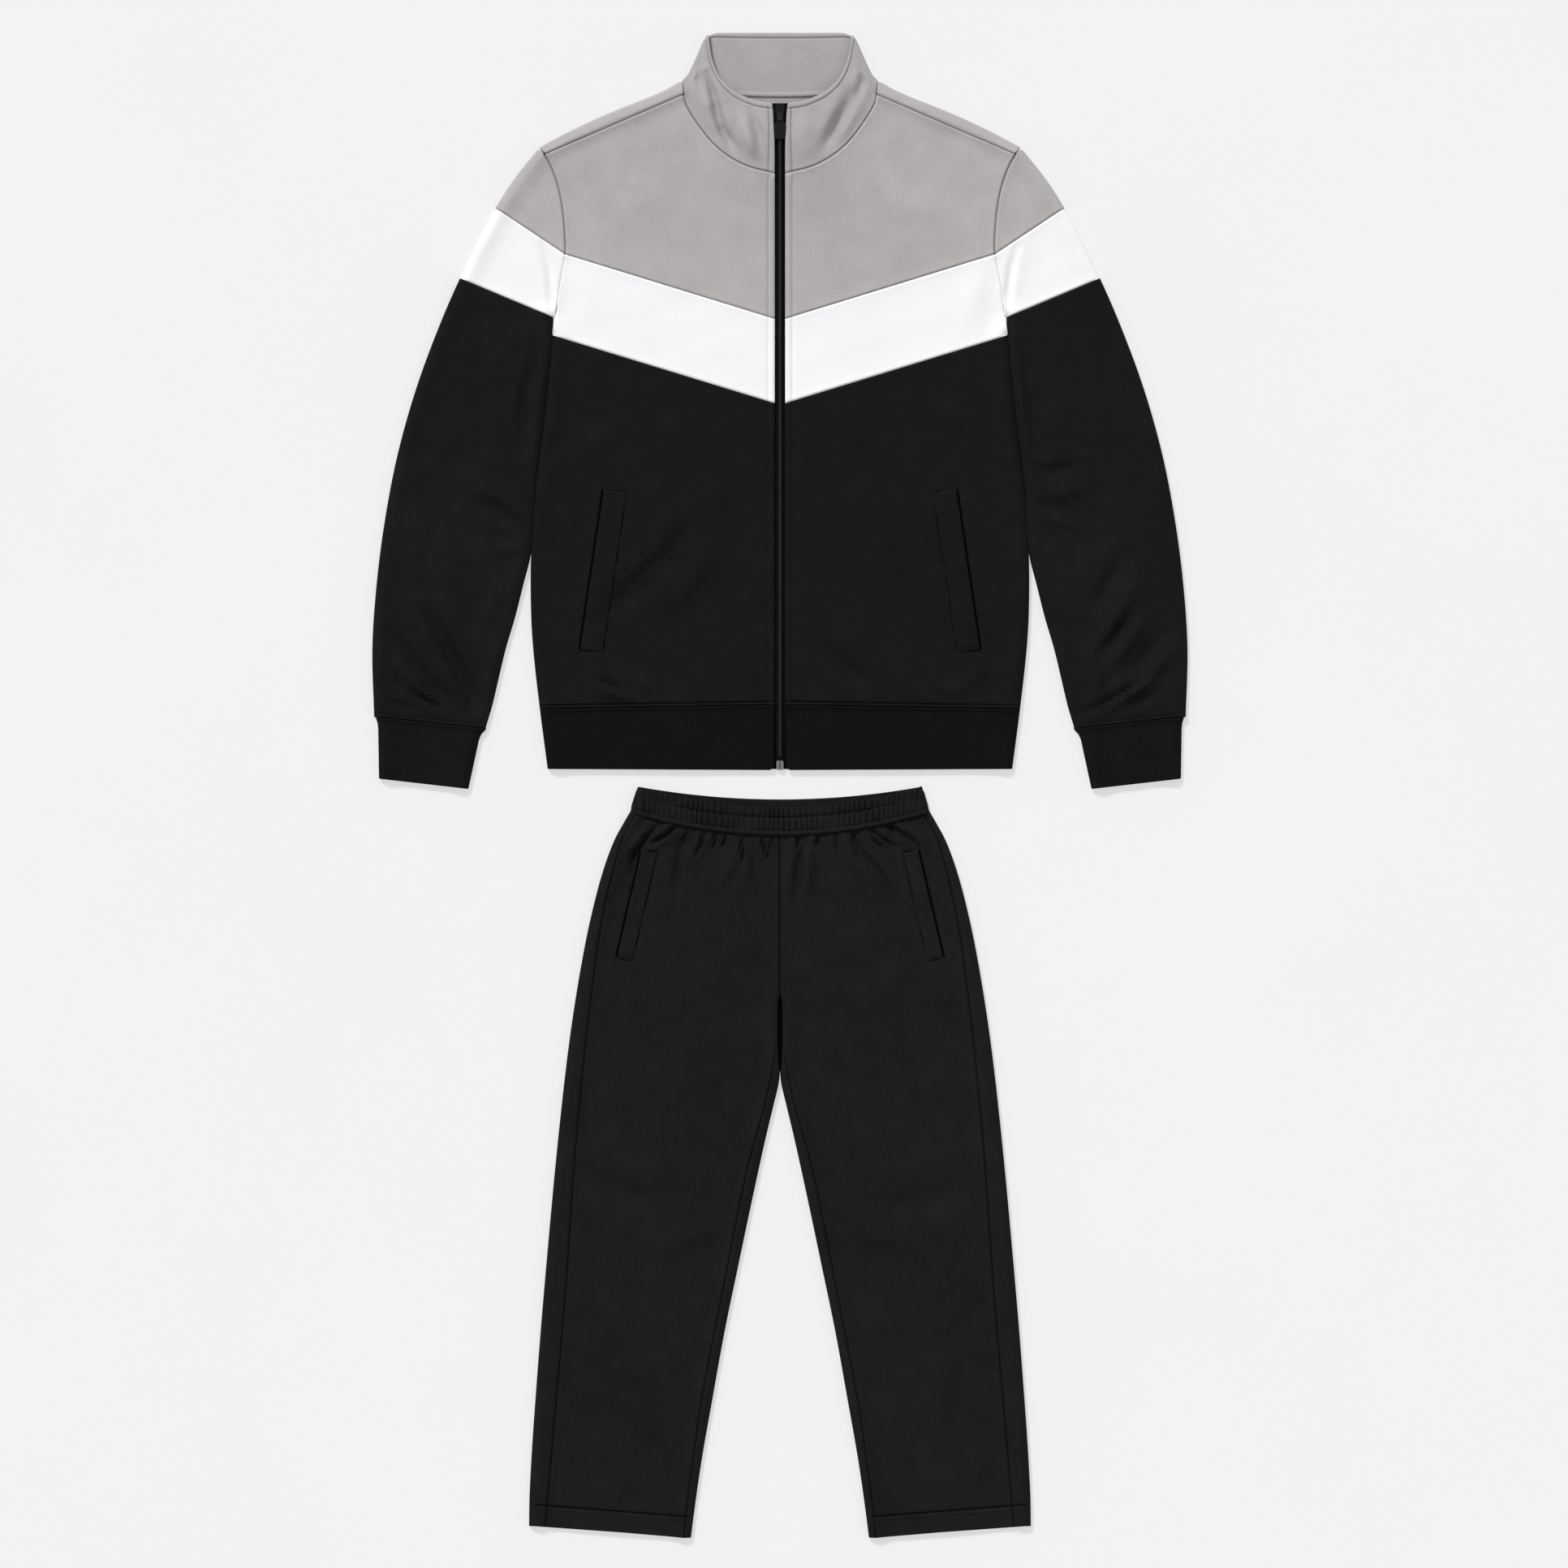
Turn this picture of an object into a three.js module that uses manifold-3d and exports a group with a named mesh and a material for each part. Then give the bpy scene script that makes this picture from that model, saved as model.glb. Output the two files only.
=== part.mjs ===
// A two-piece tracksuit lying flat on its back: a zipped jacket above, its trousers below.
// Millimetres. X runs across the suit, Y up it towards the collar, Z up from the surface.
// X = 0 is the zip, Z = 0 the surface. Left and right are the viewer's, looking down on the suit.

import * as THREE from "three";
import Module from "manifold-3d";

const wasm = await Module();
wasm.setup();

// Cloth, mm
const CLOTH = 1.2;
const RIB_CLOTH = 1.6;
const COLLAR_CLOTH = 2.4;
const WAIST_CLOTH = 1.8;
const SEAM = 0.3;
const SEAM_SIDE = 0.2;

// How the cloth turns at a fold: a small roll, then the upper layer settles on the lower one
const ROLL = 3;
const SETTLE = 22;
const FLAT_TOP = 3;
const RIB_TOP = 3.6;
const WAIST_TOP = 4.2;
const COLLAR_ROLL = 3.5;

// The neck stands open: the front is lifted round it
const NECK_LIFT = 9;
const NECK_AT = { x: 0, y: 650, wide: 85, high: 70 };
const MOUTH_Z = 14.5;

// Zip
const ZIP_HALF = 5.35;
const ZIP_HALF_TOP = 9.6;
const TAPE_THICK = 1;
const COIL_RISE = 0.9;

// Ribs and gathers
const RIB_PITCH = 5;
const RIB_RISE = 0.5;
const GATHER_RISE = 1.1;
const WAIST_WAVES = 40;

// Heights across the jacket, y at the zip and y at the armhole or side
const CHEST = {
  greyEnd: { zip: 477, side: 543 },
  whiteEnd: { zip: 390.5, side: 460 },
  hemSeam: { zip: 83.4, side: 79.3 },
  hemEdge: { zip: 15.4, side: 16.5 },
  neck: 625.4,
  mouth: 697,
};

// The shoulder fold, from the neck to the tip, then the outer fold of the sleeve to the cuff
const SHOULDER = [
  { x: 103, y: 719 },
  { x: 117, y: 711 },
  { x: 175, y: 687 },
  { x: 217, y: 667.5 },
  { x: 246, y: 652 },
];
const SLEEVE_OUTER = [
  { y: 652, x: 246 },
  { y: 620.5, x: 273.5 },
  { y: 590.5, x: 291 },
  { y: 518.3, x: 327.2 },
  { y: 471, x: 347.8 },
  { y: 404.6, x: 372.3 },
  { y: 338, x: 391 },
  { y: 272, x: 403.8 },
  { y: 205, x: 412.5 },
  { y: 139, x: 416.8 },
  { y: 72, x: 415 },
];
const SLEEVE_INNER = [
  { y: 478.5, x: 232 },
  { y: 460, x: 233.6 },
  { y: 371, x: 242.6 },
  { y: 305, x: 250.8 },
  { y: 236, x: 255.6 },
  { y: 205, x: 262.3 },
  { y: 172, x: 270.6 },
  { y: 139, x: 280 },
  { y: 106, x: 288.6 },
  { y: 60, x: 304 },
];
const BODY_SIDE = [
  { y: 460, x: 232.6 },
  { y: 371, x: 241.5 },
  { y: 305, x: 249.7 },
  { y: 236, x: 254.2 },
  { y: 172, x: 254.4 },
  { y: 139, x: 252.3 },
  { y: 79.3, x: 245.7 },
  { y: 16.5, x: 237.5 },
];
const ARMHOLE = [
  { y: 652, x: 246 },
  { y: 637, x: 236.3 },
  { y: 613, x: 227 },
  { y: 586, x: 221.8 },
  { y: 565, x: 220 },
  { y: 543, x: 219.6 },
  { y: 527.5, x: 222.6 },
  { y: 477, x: 230.6 },
  { y: 460, x: 232.6 },
];
// Where the rows of the armhole lie, so that body and sleeve share them
const ARMHOLE_ROWS = [645.5, 640, 631, 620, 607, 593, 577, 560, 543];
const ARMHOLE_TIP_ROWS = [652, 651.6, 650.2, 648.6];
const ARMHOLE_WHITE_ROWS = [543, 527.5, 502, 478.5, 460];
// Forward shoulder seam, where the back yoke ends on the front
const FORWARD_SEAM = { neck: { x: 98.8, y: 706 }, arm: { x: 239.3, y: 645.6 } };

// Front neck seam and the open top edge of the front collar above it, from the zip to the side
const NECK_FRONT = [
  { x: 5.4, y: 625.4, topX: 9.6, topY: 697 },
  { x: 31.5, y: 632, topX: 24, topY: 699.5 },
  { x: 52, y: 642.4, topX: 39, topY: 705.1 },
  { x: 69, y: 656.5, topX: 50, topY: 712 },
  { x: 84, y: 675.7, topX: 61.4, topY: 724.2 },
  { x: 95.5, y: 694.3, topX: 68.9, topY: 741.6 },
  { x: 98.6, y: 705.4, topX: 71.6, topY: 755 },
];
// Side fold of the collar, from the neck to the top
const COLLAR_SIDE = [
  { part: 0, x: 100.5, y: 719.6 },
  { part: 0.15, x: 94.5, y: 726.5 },
  { part: 0.3, x: 90.3, y: 734.5 },
  { part: 0.5, x: 85.8, y: 744 },
  { part: 0.75, x: 80.5, y: 756.5 },
  { part: 0.9, x: 77, y: 763.3 },
  { part: 1, x: 73, y: 767 },
];
const NECK_BACK = [
  { x: 95, y: 713.6, topX: 64, topY: 769.4 },
  { x: 80, y: 709.4, topX: 52, topY: 769.4 },
  { x: 60, y: 706.3, topX: 40, topY: 769.4 },
  { x: 30, y: 704, topX: 20, topY: 769.4 },
  { x: 0, y: 703.4, topX: 0, topY: 769.4 },
];

// Cuff corners
const CUFF = {
  top: { inner: { x: 305, y: 59.6 }, outer: { x: 411, y: 70.9 } },
  end: { inner: { x: 318.5, y: -3.9 }, outer: { x: 410, y: 6.6 } },
};

// Trousers: the waistband's edges are shallow curves, mid at the middle and side at the fold
const WAIST = {
  seamHalf: 153,
  topHalf: 145,
  frontSeam: { mid: -50.2, side: -27 },
  frontTop: { mid: -22.8, side: -1.5 },
  backSeam: { mid: -42.5, side: -27 },
  backTop: { mid: -14.5, side: -1.5 },
};
const LEG_OUTER = [
  { y: -27.3, x: 153.3 },
  { y: -33.6, x: 157 },
  { y: -43.6, x: 162.7 },
  { y: -53.5, x: 168.1 },
  { y: -85, x: 180.1 },
  { y: -135, x: 193.4 },
  { y: -185, x: 203.4 },
  { y: -259, x: 215 },
  { y: -359, x: 226.6 },
  { y: -458.6, x: 236.1 },
  { y: -591, x: 247.3 },
  { y: -724, x: 256 },
  { y: -758, x: 256.6 },
];
const LEG_INNER = [
  { y: -218, x: 0.6 },
  { y: -290, x: 0.9 },
  { y: -305, x: 2 },
  { y: -326, x: 6.2 },
  { y: -359, x: 14.1 },
  { y: -425, x: 28.6 },
  { y: -492, x: 42.7 },
  { y: -558, x: 56.4 },
  { y: -625, x: 68.5 },
  { y: -691, x: 80.1 },
  { y: -749, x: 88.4 },
  { y: -770, x: 91 },
];
// Seams seen on the front of the trousers, just inside the folds
const SEAM_OUTER = [
  { y: -29, x: 145.5 },
  { y: -52, x: 159.8 },
  { y: -82, x: 168.9 },
  { y: -136.5, x: 181.4 },
  { y: -192, x: 189.7 },
  { y: -261, x: 197.9 },
  { y: -373, x: 208.7 },
  { y: -525, x: 219.5 },
  { y: -641, x: 229.5 },
  { y: -758, x: 239.5 },
];
const SEAM_INNER = [
  { y: -218, x: 1 },
  { y: -240, x: 2.6 },
  { y: -277, x: 5.1 },
  { y: -331, x: 16.2 },
  { y: -384, x: 31 },
  { y: -525, x: 59.7 },
  { y: -641, x: 81.8 },
  { y: -683, x: 87.6 },
  { y: -737, x: 95 },
  { y: -770, x: 98 },
];
const CROTCH = -218;
// Rows of the trousers, y at the inner side and at the outer side
const LEG_ROWS = [
  { inner: -50.5, outer: -29 },
  { inner: -57, outer: -40 },
  { inner: -70, outer: -58 },
  { inner: -90, outer: -85 },
  { inner: -145, outer: -142 },
  { inner: -205, outer: -197 },
  { inner: -214, outer: -205 },
  { inner: CROTCH, outer: -210 },
  { inner: -240, outer: -232 },
  { inner: -277, outer: -268 },
  { inner: -304, outer: -298 },
  { inner: -331, outer: -325 },
  { inner: -384, outer: -376 },
  { inner: -460, outer: -450 },
  { inner: -560, outer: -548 },
  { inner: -665, outer: -652 },
  { inner: -769.4, outer: -757.4 },
];

// Pocket welts, four corners each: the outer long side is the opening
const JACKET_WELT = {
  topOut: { x: 180, y: 301.7 },
  topIn: { x: 157, y: 299.2 },
  endIn: { x: 181.5, y: 136.6 },
  endOut: { x: 204, y: 139 },
};
const TROUSER_WELT = {
  topOut: { x: 141, y: -66.6 },
  topIn: { x: 126, y: -69.2 },
  endIn: { x: 151.5, y: -179.6 },
  endOut: { x: 166.4, y: -175.5 },
};
const WELT_THICK = 1.3;

// Slider and pull tab, in their own frame: y up the zip, z off the tapes
const SLIDER = {
  y: 687.3,
  wide: 9,
  narrow: 6.6,
  long: 17,
  plate: 1.6,
  archHalf: 4.4,
  windowHalf: 2.4,
  archWide: 2.4,
  windowHigh: 2.7,
  archTop: 1.2,
  hingeY: -4.6,
};
const PULL = {
  thick: 1.4,
  bar: 0.7,
  armOut: 3.4,
  armIn: 1.8,
  holeEnd: 5.7,
  tabStart: 6.4,
  tabEnd: 22.4,
  tabHalf: 5.8,
  corner: 1.4,
  droop: 5.5,
};
const ZIP_BOX = { half: 3.6, top: 25.2, end: 15.6, high: 3 };

// Colours, roughness
const GREY = material(0xafabaa, 0.9);
const WHITE = material(0xf4f4f6, 0.9);
const BLACK = material(0x1c1c1d, 0.92);
const RIB = material(0x171718, 0.95);
const COLLAR = material(0xa5a1a1, 0.9);
const TAPE = material(0x262626, 0.8);
const TAB = material(0x1b1b1c, 0.5);
const METAL = material(0x8d8d8f, 0.4, 0.9);

function material(color, roughness, metalness = 0) {
  return new THREE.MeshStandardMaterial({ color, roughness, metalness });
}

// A smooth line through a table's points: the value of one column at a value of another
function along(table, key, at, column) {
  const last = table.length - 1;
  const rising = table[last][key] > table[0][key];
  const inside = (i) => (rising ? table[i][key] <= at : table[i][key] >= at);
  let i = 0;
  while (i < last - 1 && inside(i + 1)) {
    i += 1;
  }
  const slope = (a, b) => (table[b][column] - table[a][column]) / (table[b][key] - table[a][key]);
  const here = slope(i, i + 1);
  const before = i > 0 ? (slope(i - 1, i) + here) / 2 : here;
  const after = i < last - 1 ? (slope(i + 1, i + 2) + here) / 2 : here;
  const step = table[i + 1][key] - table[i][key];
  const t = THREE.MathUtils.clamp((at - table[i][key]) / step, 0, 1);
  const start = (2 * t - 3) * t * t + 1;
  const startSlope = ((t - 2) * t + 1) * t * step;
  const endSlope = (t - 1) * t * t * step;
  return table[i][column] * start + table[i + 1][column] * (1 - start)
    + before * startSlope + after * endSlope;
}

const onShoulder = (x) => along(SHOULDER, "x", x, "y");
const onSleeveOuter = (y) => along(SLEEVE_OUTER, "y", y, "x");
const onSleeveInner = (y) => along(SLEEVE_INNER, "y", y, "x");
const onBodySide = (y) => along(BODY_SIDE, "y", y, "x");
const onArmhole = (y) => along(ARMHOLE, "y", y, "x");
const onLegOuter = (y) => along(LEG_OUTER, "y", y, "x");
const onLegInner = (y) => along(LEG_INNER, "y", y, "x");
const onSeamOuter = (y) => along(SEAM_OUTER, "y", y, "x");
const onSeamInner = (y) => along(SEAM_INNER, "y", y, "x");

function lerp(a, b, t) {
  return a + (b - a) * t;
}

function between(a, b, t) {
  return { x: lerp(a.x, b.x, t), y: lerp(a.y, b.y, t) };
}

function distance(a, b) {
  return Math.hypot(b.x - a.x, b.y - a.y);
}

// The point at a distance along the straight line from one point to another
function step(a, b, far) {
  return between(a, b, far / distance(a, b));
}

// Fold lines as fine polylines: every height on the suit comes from the distance to them
const FINE = 12;

function traced(from, to, pointAt) {
  const count = Math.max(2, Math.ceil(Math.abs(to - from) / FINE));
  return Array.from({ length: count + 1 }, (_, i) => pointAt(lerp(from, to, i / count)));
}

const SHOULDER_FOLD = traced(103, 246, (x) => ({ x, y: onShoulder(x) }));
const SLEEVE_OUTER_FOLD = traced(652, 72, (y) => ({ x: onSleeveOuter(y), y }));
const SLEEVE_INNER_FOLD = traced(478.5, 60, (y) => ({ x: onSleeveInner(y), y }));
const BODY_SIDE_FOLD = traced(460, 16.5, (y) => ({ x: onBodySide(y), y }));
const LEG_OUTER_FOLD = traced(-27.3, -758, (y) => ({ x: onLegOuter(y), y }));
const LEG_INNER_FOLD = traced(CROTCH, -770, (y) => ({ x: onLegInner(y), y }));

const BODY_FOLDS = [SHOULDER_FOLD, SLEEVE_OUTER_FOLD, BODY_SIDE_FOLD];
const SLEEVE_FOLDS = [SHOULDER_FOLD, SLEEVE_OUTER_FOLD, SLEEVE_INNER_FOLD];
const CUFF_FOLDS = [[CUFF.top.inner, CUFF.end.inner], [CUFF.top.outer, CUFF.end.outer]];
const LEG_FOLDS = [LEG_OUTER_FOLD, LEG_INNER_FOLD];

function toFolds(x, y, folds) {
  let nearest = Infinity;
  for (const line of folds) {
    for (let i = 0; i < line.length - 1; i += 1) {
      const a = line[i];
      const b = line[i + 1];
      const dx = b.x - a.x;
      const dy = b.y - a.y;
      const t = THREE.MathUtils.clamp(((x - a.x) * dx + (y - a.y) * dy) / (dx * dx + dy * dy), 0, 1);
      nearest = Math.min(nearest, Math.hypot(x - a.x - t * dx, y - a.y - t * dy));
    }
  }
  return nearest;
}

// Height of a roll of the given radius, measured from its middle
function rollHeight(d, radius) {
  return d >= radius ? radius : Math.sqrt(radius * radius - (radius - d) ** 2);
}

function upperZ(d, flat) {
  const settled = THREE.MathUtils.smoothstep(d, ROLL, ROLL + SETTLE);
  return lerp(ROLL + SEAM + rollHeight(d, ROLL), flat, settled);
}

function lowerZ(d) {
  return ROLL - rollHeight(d, ROLL);
}

const FOLD_Z = ROLL + SEAM / 2;

function neckLift(x, y) {
  const across = (x - NECK_AT.x) / NECK_AT.wide;
  const up = (y - NECK_AT.y) / NECK_AT.high;
  return NECK_LIFT * Math.exp(-across * across - up * up);
}

// A point of the upper layer, of the lower layer and of the fold between them
function upper(p, folds, flat = FLAT_TOP) {
  const lift = p.y > 0 ? neckLift(p.x, p.y) : 0;
  return new THREE.Vector3(p.x, p.y, upperZ(toFolds(p.x, p.y, folds), flat) + lift);
}

function lower(p, folds) {
  return new THREE.Vector3(p.x, p.y, lowerZ(toFolds(p.x, p.y, folds)));
}

function fold(p) {
  return new THREE.Vector3(p.x, p.y, FOLD_Z);
}

function raised(point, rise) {
  return Object.assign(point, { rise });
}

// A point on a seam beside a roll, where the wall is cut straight down
function plumb(point) {
  return Object.assign(point, { plumb: true });
}

// A point where a narrow strip of the wall is thinner, as a share of the cloth
function thinned(point, share) {
  return Object.assign(point, { share });
}

// Distances from a fold at which a row has points: three on the roll, and on the upper layer
// three more where the cloth settles
const ROLL_STEPS = [0.13 * ROLL, 0.5 * ROLL, ROLL];
const FOLD_STEPS = [...ROLL_STEPS, ROLL + SETTLE / 4, ROLL + SETTLE / 2, ROLL + SETTLE];
const SHORT_ROW = 40;

// Points along a row of the given length, packed beside a fold at its start or its end
function stations(length, middle, startFold, endFold, foldSteps = FOLD_STEPS) {
  const scale = Math.min(1, length / SHORT_ROW / (startFold && endFold ? 2 : 1));
  const steps = foldSteps.map((d) => d * scale);
  const from = startFold ? steps.at(-1) : SEAM_SIDE;
  const to = length - (endFold ? steps.at(-1) : SEAM_SIDE);
  const inner = Array.from({ length: middle + 1 }, (_, i) => lerp(from, to, i / middle));
  const head = startFold ? steps.slice(0, -1) : [];
  const tail = endFold ? steps.slice(0, -1).reverse().map((d) => length - d) : [];
  return [...head, ...inner, ...tail];
}

function row(a, b, middle, startFold, endFold, foldSteps) {
  return stations(distance(a, b), middle, startFold, endFold, foldSteps).map((far) => step(a, b, far));
}

// A wall from grids of points that share their borders, with the outside on the grids when high
// is 0. Points that share a place are one, so grids join; every free border gets a rim. A point's
// rise lifts the outside alone, a plumb point's wall stands straight up, and its share thins the
// wall. Facing says which way the highest or lowest face looks.
function wall(grids, { low = -CLOTH, high = 0, facing = "up" } = {}) {
  const points = [];
  const rises = [];
  const plumbs = [];
  const shares = [];
  const known = new Map();
  const faces = [];
  const put = (p) => {
    const key = [p.x, p.y, p.z].map((v) => Math.round(v * 1000)).join();
    if (!known.has(key)) {
      known.set(key, points.length);
      points.push(p.clone());
      rises.push(p.rise ?? 0);
      plumbs.push(p.plumb ?? false);
      shares.push(p.share ?? 1);
    }
    return known.get(key);
  };
  const face = (a, b, c) => {
    if (a !== b && b !== c && c !== a) {
      faces.push([a, b, c]);
    }
  };
  for (const rows of grids) {
    for (let r = 0; r < rows.length - 1; r += 1) {
      for (let c = 0; c < rows[r].length - 1; c += 1) {
        const a = put(rows[r][c]);
        const b = put(rows[r][c + 1]);
        const d = put(rows[r + 1][c + 1]);
        const e = put(rows[r + 1][c]);
        face(a, b, d);
        face(a, d, e);
      }
    }
  }
  const normals = points.map(() => new THREE.Vector3());
  const found = { z: facing === "up" ? -Infinity : Infinity, turn: 1 };
  for (const [a, b, c] of faces) {
    const ab = points[b].clone().sub(points[a]);
    const ac = points[c].clone().sub(points[a]);
    const n = ab.cross(ac);
    [a, b, c].forEach((i) => normals[i].add(n));
    const z = points[a].z + points[b].z + points[c].z;
    const flatFace = Math.abs(n.z) > 0.8 * n.length();
    if (flatFace && (facing === "up" ? z > found.z : z < found.z)) {
      found.z = z;
      found.turn = (facing === "up" ? 1 : -1) * Math.sign(n.z);
    }
  }
  normals.forEach((n, i) => {
    if (Math.abs(points[i].z - FOLD_Z) <= SEAM && Math.abs(n.z) < 0.75 * n.length()) {
      n.z = 0;
    }
    if (plumbs[i]) {
      n.set(0, 0, n.z);
    }
    n.normalize().multiplyScalar(found.turn);
  });
  const ring = found.turn > 0 ? faces : faces.map(([a, b, c]) => [a, c, b]);
  const outer = points.map((p, i) => p.clone().addScaledVector(normals[i], high + rises[i]));
  const inner = points.map((p, i) => p.clone().addScaledVector(normals[i], low * shares[i]));
  const edges = new Set(ring.flatMap(([a, b, c]) => [`${a},${b}`, `${b},${c}`, `${c},${a}`]));
  const count = points.length;
  const all = [...ring, ...ring.map(([a, b, c]) => [c + count, b + count, a + count])];
  for (const edge of edges) {
    const [a, b] = edge.split(",").map(Number);
    if (!edges.has(`${b},${a}`)) {
      all.push([b, a, a + count], [b, a + count, b + count]);
    }
  }
  const geometry = new THREE.BufferGeometry();
  const places = [...outer, ...inner].flatMap((p) => [p.x, p.y, p.z]);
  geometry.setAttribute("position", new THREE.Float32BufferAttribute(places, 3));
  geometry.setIndex(all.flat());
  return geometry;
}

function mirrored(grids, side) {
  return grids.map((rows) => rows.map((line) => line.map((p) => {
    const copy = p.clone();
    copy.x *= side;
    return Object.assign(copy, { rise: p.rise ?? 0, plumb: p.plumb ?? false, share: p.share ?? 1 });
  })));
}

const suit = new THREE.Group();
const SIDES = [
  { name: "left", sign: -1 },
  { name: "right", sign: 1 },
];

function add(name, geometry, finish) {
  const mesh = new THREE.Mesh(geometry, finish);
  mesh.name = name;
  suit.add(mesh);
  return mesh;
}

function addPair(name, grids, options, finish) {
  for (const { name: side, sign } of SIDES) {
    add(`${name}_${side}`, wall(mirrored(grids, sign), options), finish);
  }
}

// Front body, band and yoke

const FRONT_MIDDLE = 3;

function zipPoint(y) {
  return { x: ZIP_HALF - SEAM_SIDE, y };
}

function frontBody() {
  const rows = [];
  const count = 8;
  for (let i = 0; i <= count; i += 1) {
    const inset = i === 0 ? -SEAM_SIDE : i === count ? SEAM_SIDE : 0;
    const yZip = lerp(CHEST.whiteEnd.zip, CHEST.hemSeam.zip, i / count) + inset;
    const ySide = lerp(CHEST.whiteEnd.side, CHEST.hemSeam.side, i / count) + inset;
    const side = { x: onBodySide(ySide), y: ySide };
    const inner = row(zipPoint(yZip), side, FRONT_MIDDLE, false, true);
    rows.push([...inner, side].map((p) => upper(p, BODY_FOLDS)));
  }
  rows.forEach((line) => {
    line.at(-1).z = ROLL + SEAM;
  });
  return [rows];
}

function frontBand() {
  const last = ARMHOLE_WHITE_ROWS.length - 1;
  const rows = ARMHOLE_WHITE_ROWS.map((y, i) => {
    const inset = i === 0 ? -SEAM_SIDE : i === last ? SEAM_SIDE : 0;
    const yZip = lerp(CHEST.greyEnd.zip, CHEST.whiteEnd.zip, (543 - y) / 83) + inset;
    const arm = { x: onArmhole(y + inset), y: y + inset };
    return row(zipPoint(yZip), arm, 6, false, false).map((p) => upper(p, BODY_FOLDS));
  });
  return [rows];
}

function frontYoke() {
  const zipRows = [CHEST.greyEnd.zip + SEAM_SIDE, 560];
  const starts = [
    ...zipRows.map((y) => zipPoint(y)),
    ...NECK_FRONT.map(({ x, y }) => ({ x: x + SEAM_SIDE / 2, y: y - SEAM_SIDE })),
  ].reverse();
  starts[0] = { x: FORWARD_SEAM.neck.x, y: FORWARD_SEAM.neck.y - SEAM };
  const ends = ARMHOLE_ROWS.map((y, i) => {
    const inset = i === ARMHOLE_ROWS.length - 1 ? SEAM_SIDE : i === 0 ? -SEAM : 0;
    return { x: onArmhole(y), y: y + inset };
  });
  ends[0] = { x: FORWARD_SEAM.arm.x, y: FORWARD_SEAM.arm.y - SEAM };
  const rows = starts.map((start, i) => row(start, ends[i], 7, false, false));
  return [rows.map((line) => line.map((p) => upper(p, BODY_FOLDS)))];
}

// Back body, band and yoke: flat on the surface, turning up at the folds

function backRow(left, right, middle, folded) {
  const line = row(left, right, middle, folded, folded, ROLL_STEPS);
  return folded ? [left, ...line, right] : line;
}

function mirrorX(p) {
  return { x: -p.x, y: p.y };
}

function lowerBoth(p, folds) {
  const point = lower({ x: Math.abs(p.x), y: p.y }, folds);
  point.x = p.x;
  return point;
}

function backBody() {
  const count = 8;
  const rows = [];
  for (let i = 0; i <= count; i += 1) {
    const inset = i === 0 ? -SEAM_SIDE : i === count ? SEAM_SIDE : 0;
    const y = lerp(CHEST.whiteEnd.side, CHEST.hemSeam.side, i / count) + inset;
    const side = { x: onBodySide(y), y };
    const line = backRow(mirrorX(side), side, 6, true).map((p) => lowerBoth(p, BODY_FOLDS));
    line[0].z = ROLL;
    line.at(-1).z = ROLL;
    rows.push(line);
  }
  return [rows];
}

function backBand() {
  const last = ARMHOLE_WHITE_ROWS.length - 1;
  const rows = ARMHOLE_WHITE_ROWS.map((at, i) => {
    const y = at + (i === 0 ? -SEAM_SIDE : i === last ? SEAM_SIDE : 0);
    const arm = { x: onArmhole(y), y };
    return backRow(mirrorX(arm), arm, 12, false).map((p) => lowerBoth(p, BODY_FOLDS));
  });
  return [rows];
}

// The top border of the back yoke, from the middle of the neck out to the shoulder tip
const YOKE_TOP = [
  ...NECK_BACK.slice().reverse().map(({ x, y }) => ({ x, y: y - SEAM_SIDE })),
  { x: SHOULDER[0].x + 0.4, y: SHOULDER[0].y, shoulder: true },
  ...SHOULDER.slice(1, -1).map(({ x, y }) => ({ x, y, shoulder: true })),
  { x: SHOULDER.at(-1).x - SEAM_SIDE, y: SHOULDER.at(-1).y, shoulder: true },
];

function backYokeHalf(sign) {
  const ys = [...ARMHOLE_TIP_ROWS, ...ARMHOLE_ROWS.slice(1)].reverse();
  const bottomY = 543 + SEAM_SIDE;
  const arm = (y) => ({ x: onArmhole(y) - SEAM_SIDE, y });
  const tip = YOKE_TOP.at(-1);
  const rows = ys.map((yArm, r) => {
    const v = (yArm - 543) / (652 - 543);
    const last = r === ys.length - 1;
    return YOKE_TOP.map((top) => {
      const u = top.x / tip.x;
      const bottom = { x: arm(543).x * u, y: bottomY };
      const side = arm(Math.max(yArm, bottomY));
      const plainSide = lerp(arm(543).x, tip.x, v);
      const x = lerp(bottom.x, top.x, v) + u * (side.x - plainSide);
      const y = lerp(bottomY, top.y, v);
      if (last && top.shoulder) {
        return fold({ x: top.x, y: top.y });
      }
      return lower({ x, y }, BODY_FOLDS);
    });
  });
  // the strip over the shoulder, welded to the last row
  const over = YOKE_TOP.filter((p) => p.shoulder);
  const strip = [over.map((p) => fold(p))];
  for (const d of [0.13 * ROLL, 0.5 * ROLL, ROLL, 6, 9]) {
    strip.push(over.map((p, i) => {
      const t = i / (over.length - 1);
      const seam = between(FORWARD_SEAM.neck, FORWARD_SEAM.arm, t);
      const start = i === 0 ? { x: seam.x + 0.5, y: seam.y } : seam;
      const end = i === over.length - 1 ? { x: seam.x - 0.4, y: seam.y } : start;
      return upper(between(p, end, d / 9), BODY_FOLDS);
    }));
  }
  return mirrored([rows, strip], sign);
}

function backYoke() {
  const left = backYokeHalf(-1).map((rows) => rows.map((line) => line.slice().reverse()));
  const right = backYokeHalf(1);
  return [...left, ...right];
}

// Sleeves. Cap and band wrap the outer fold and stay open at the armhole.

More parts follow.
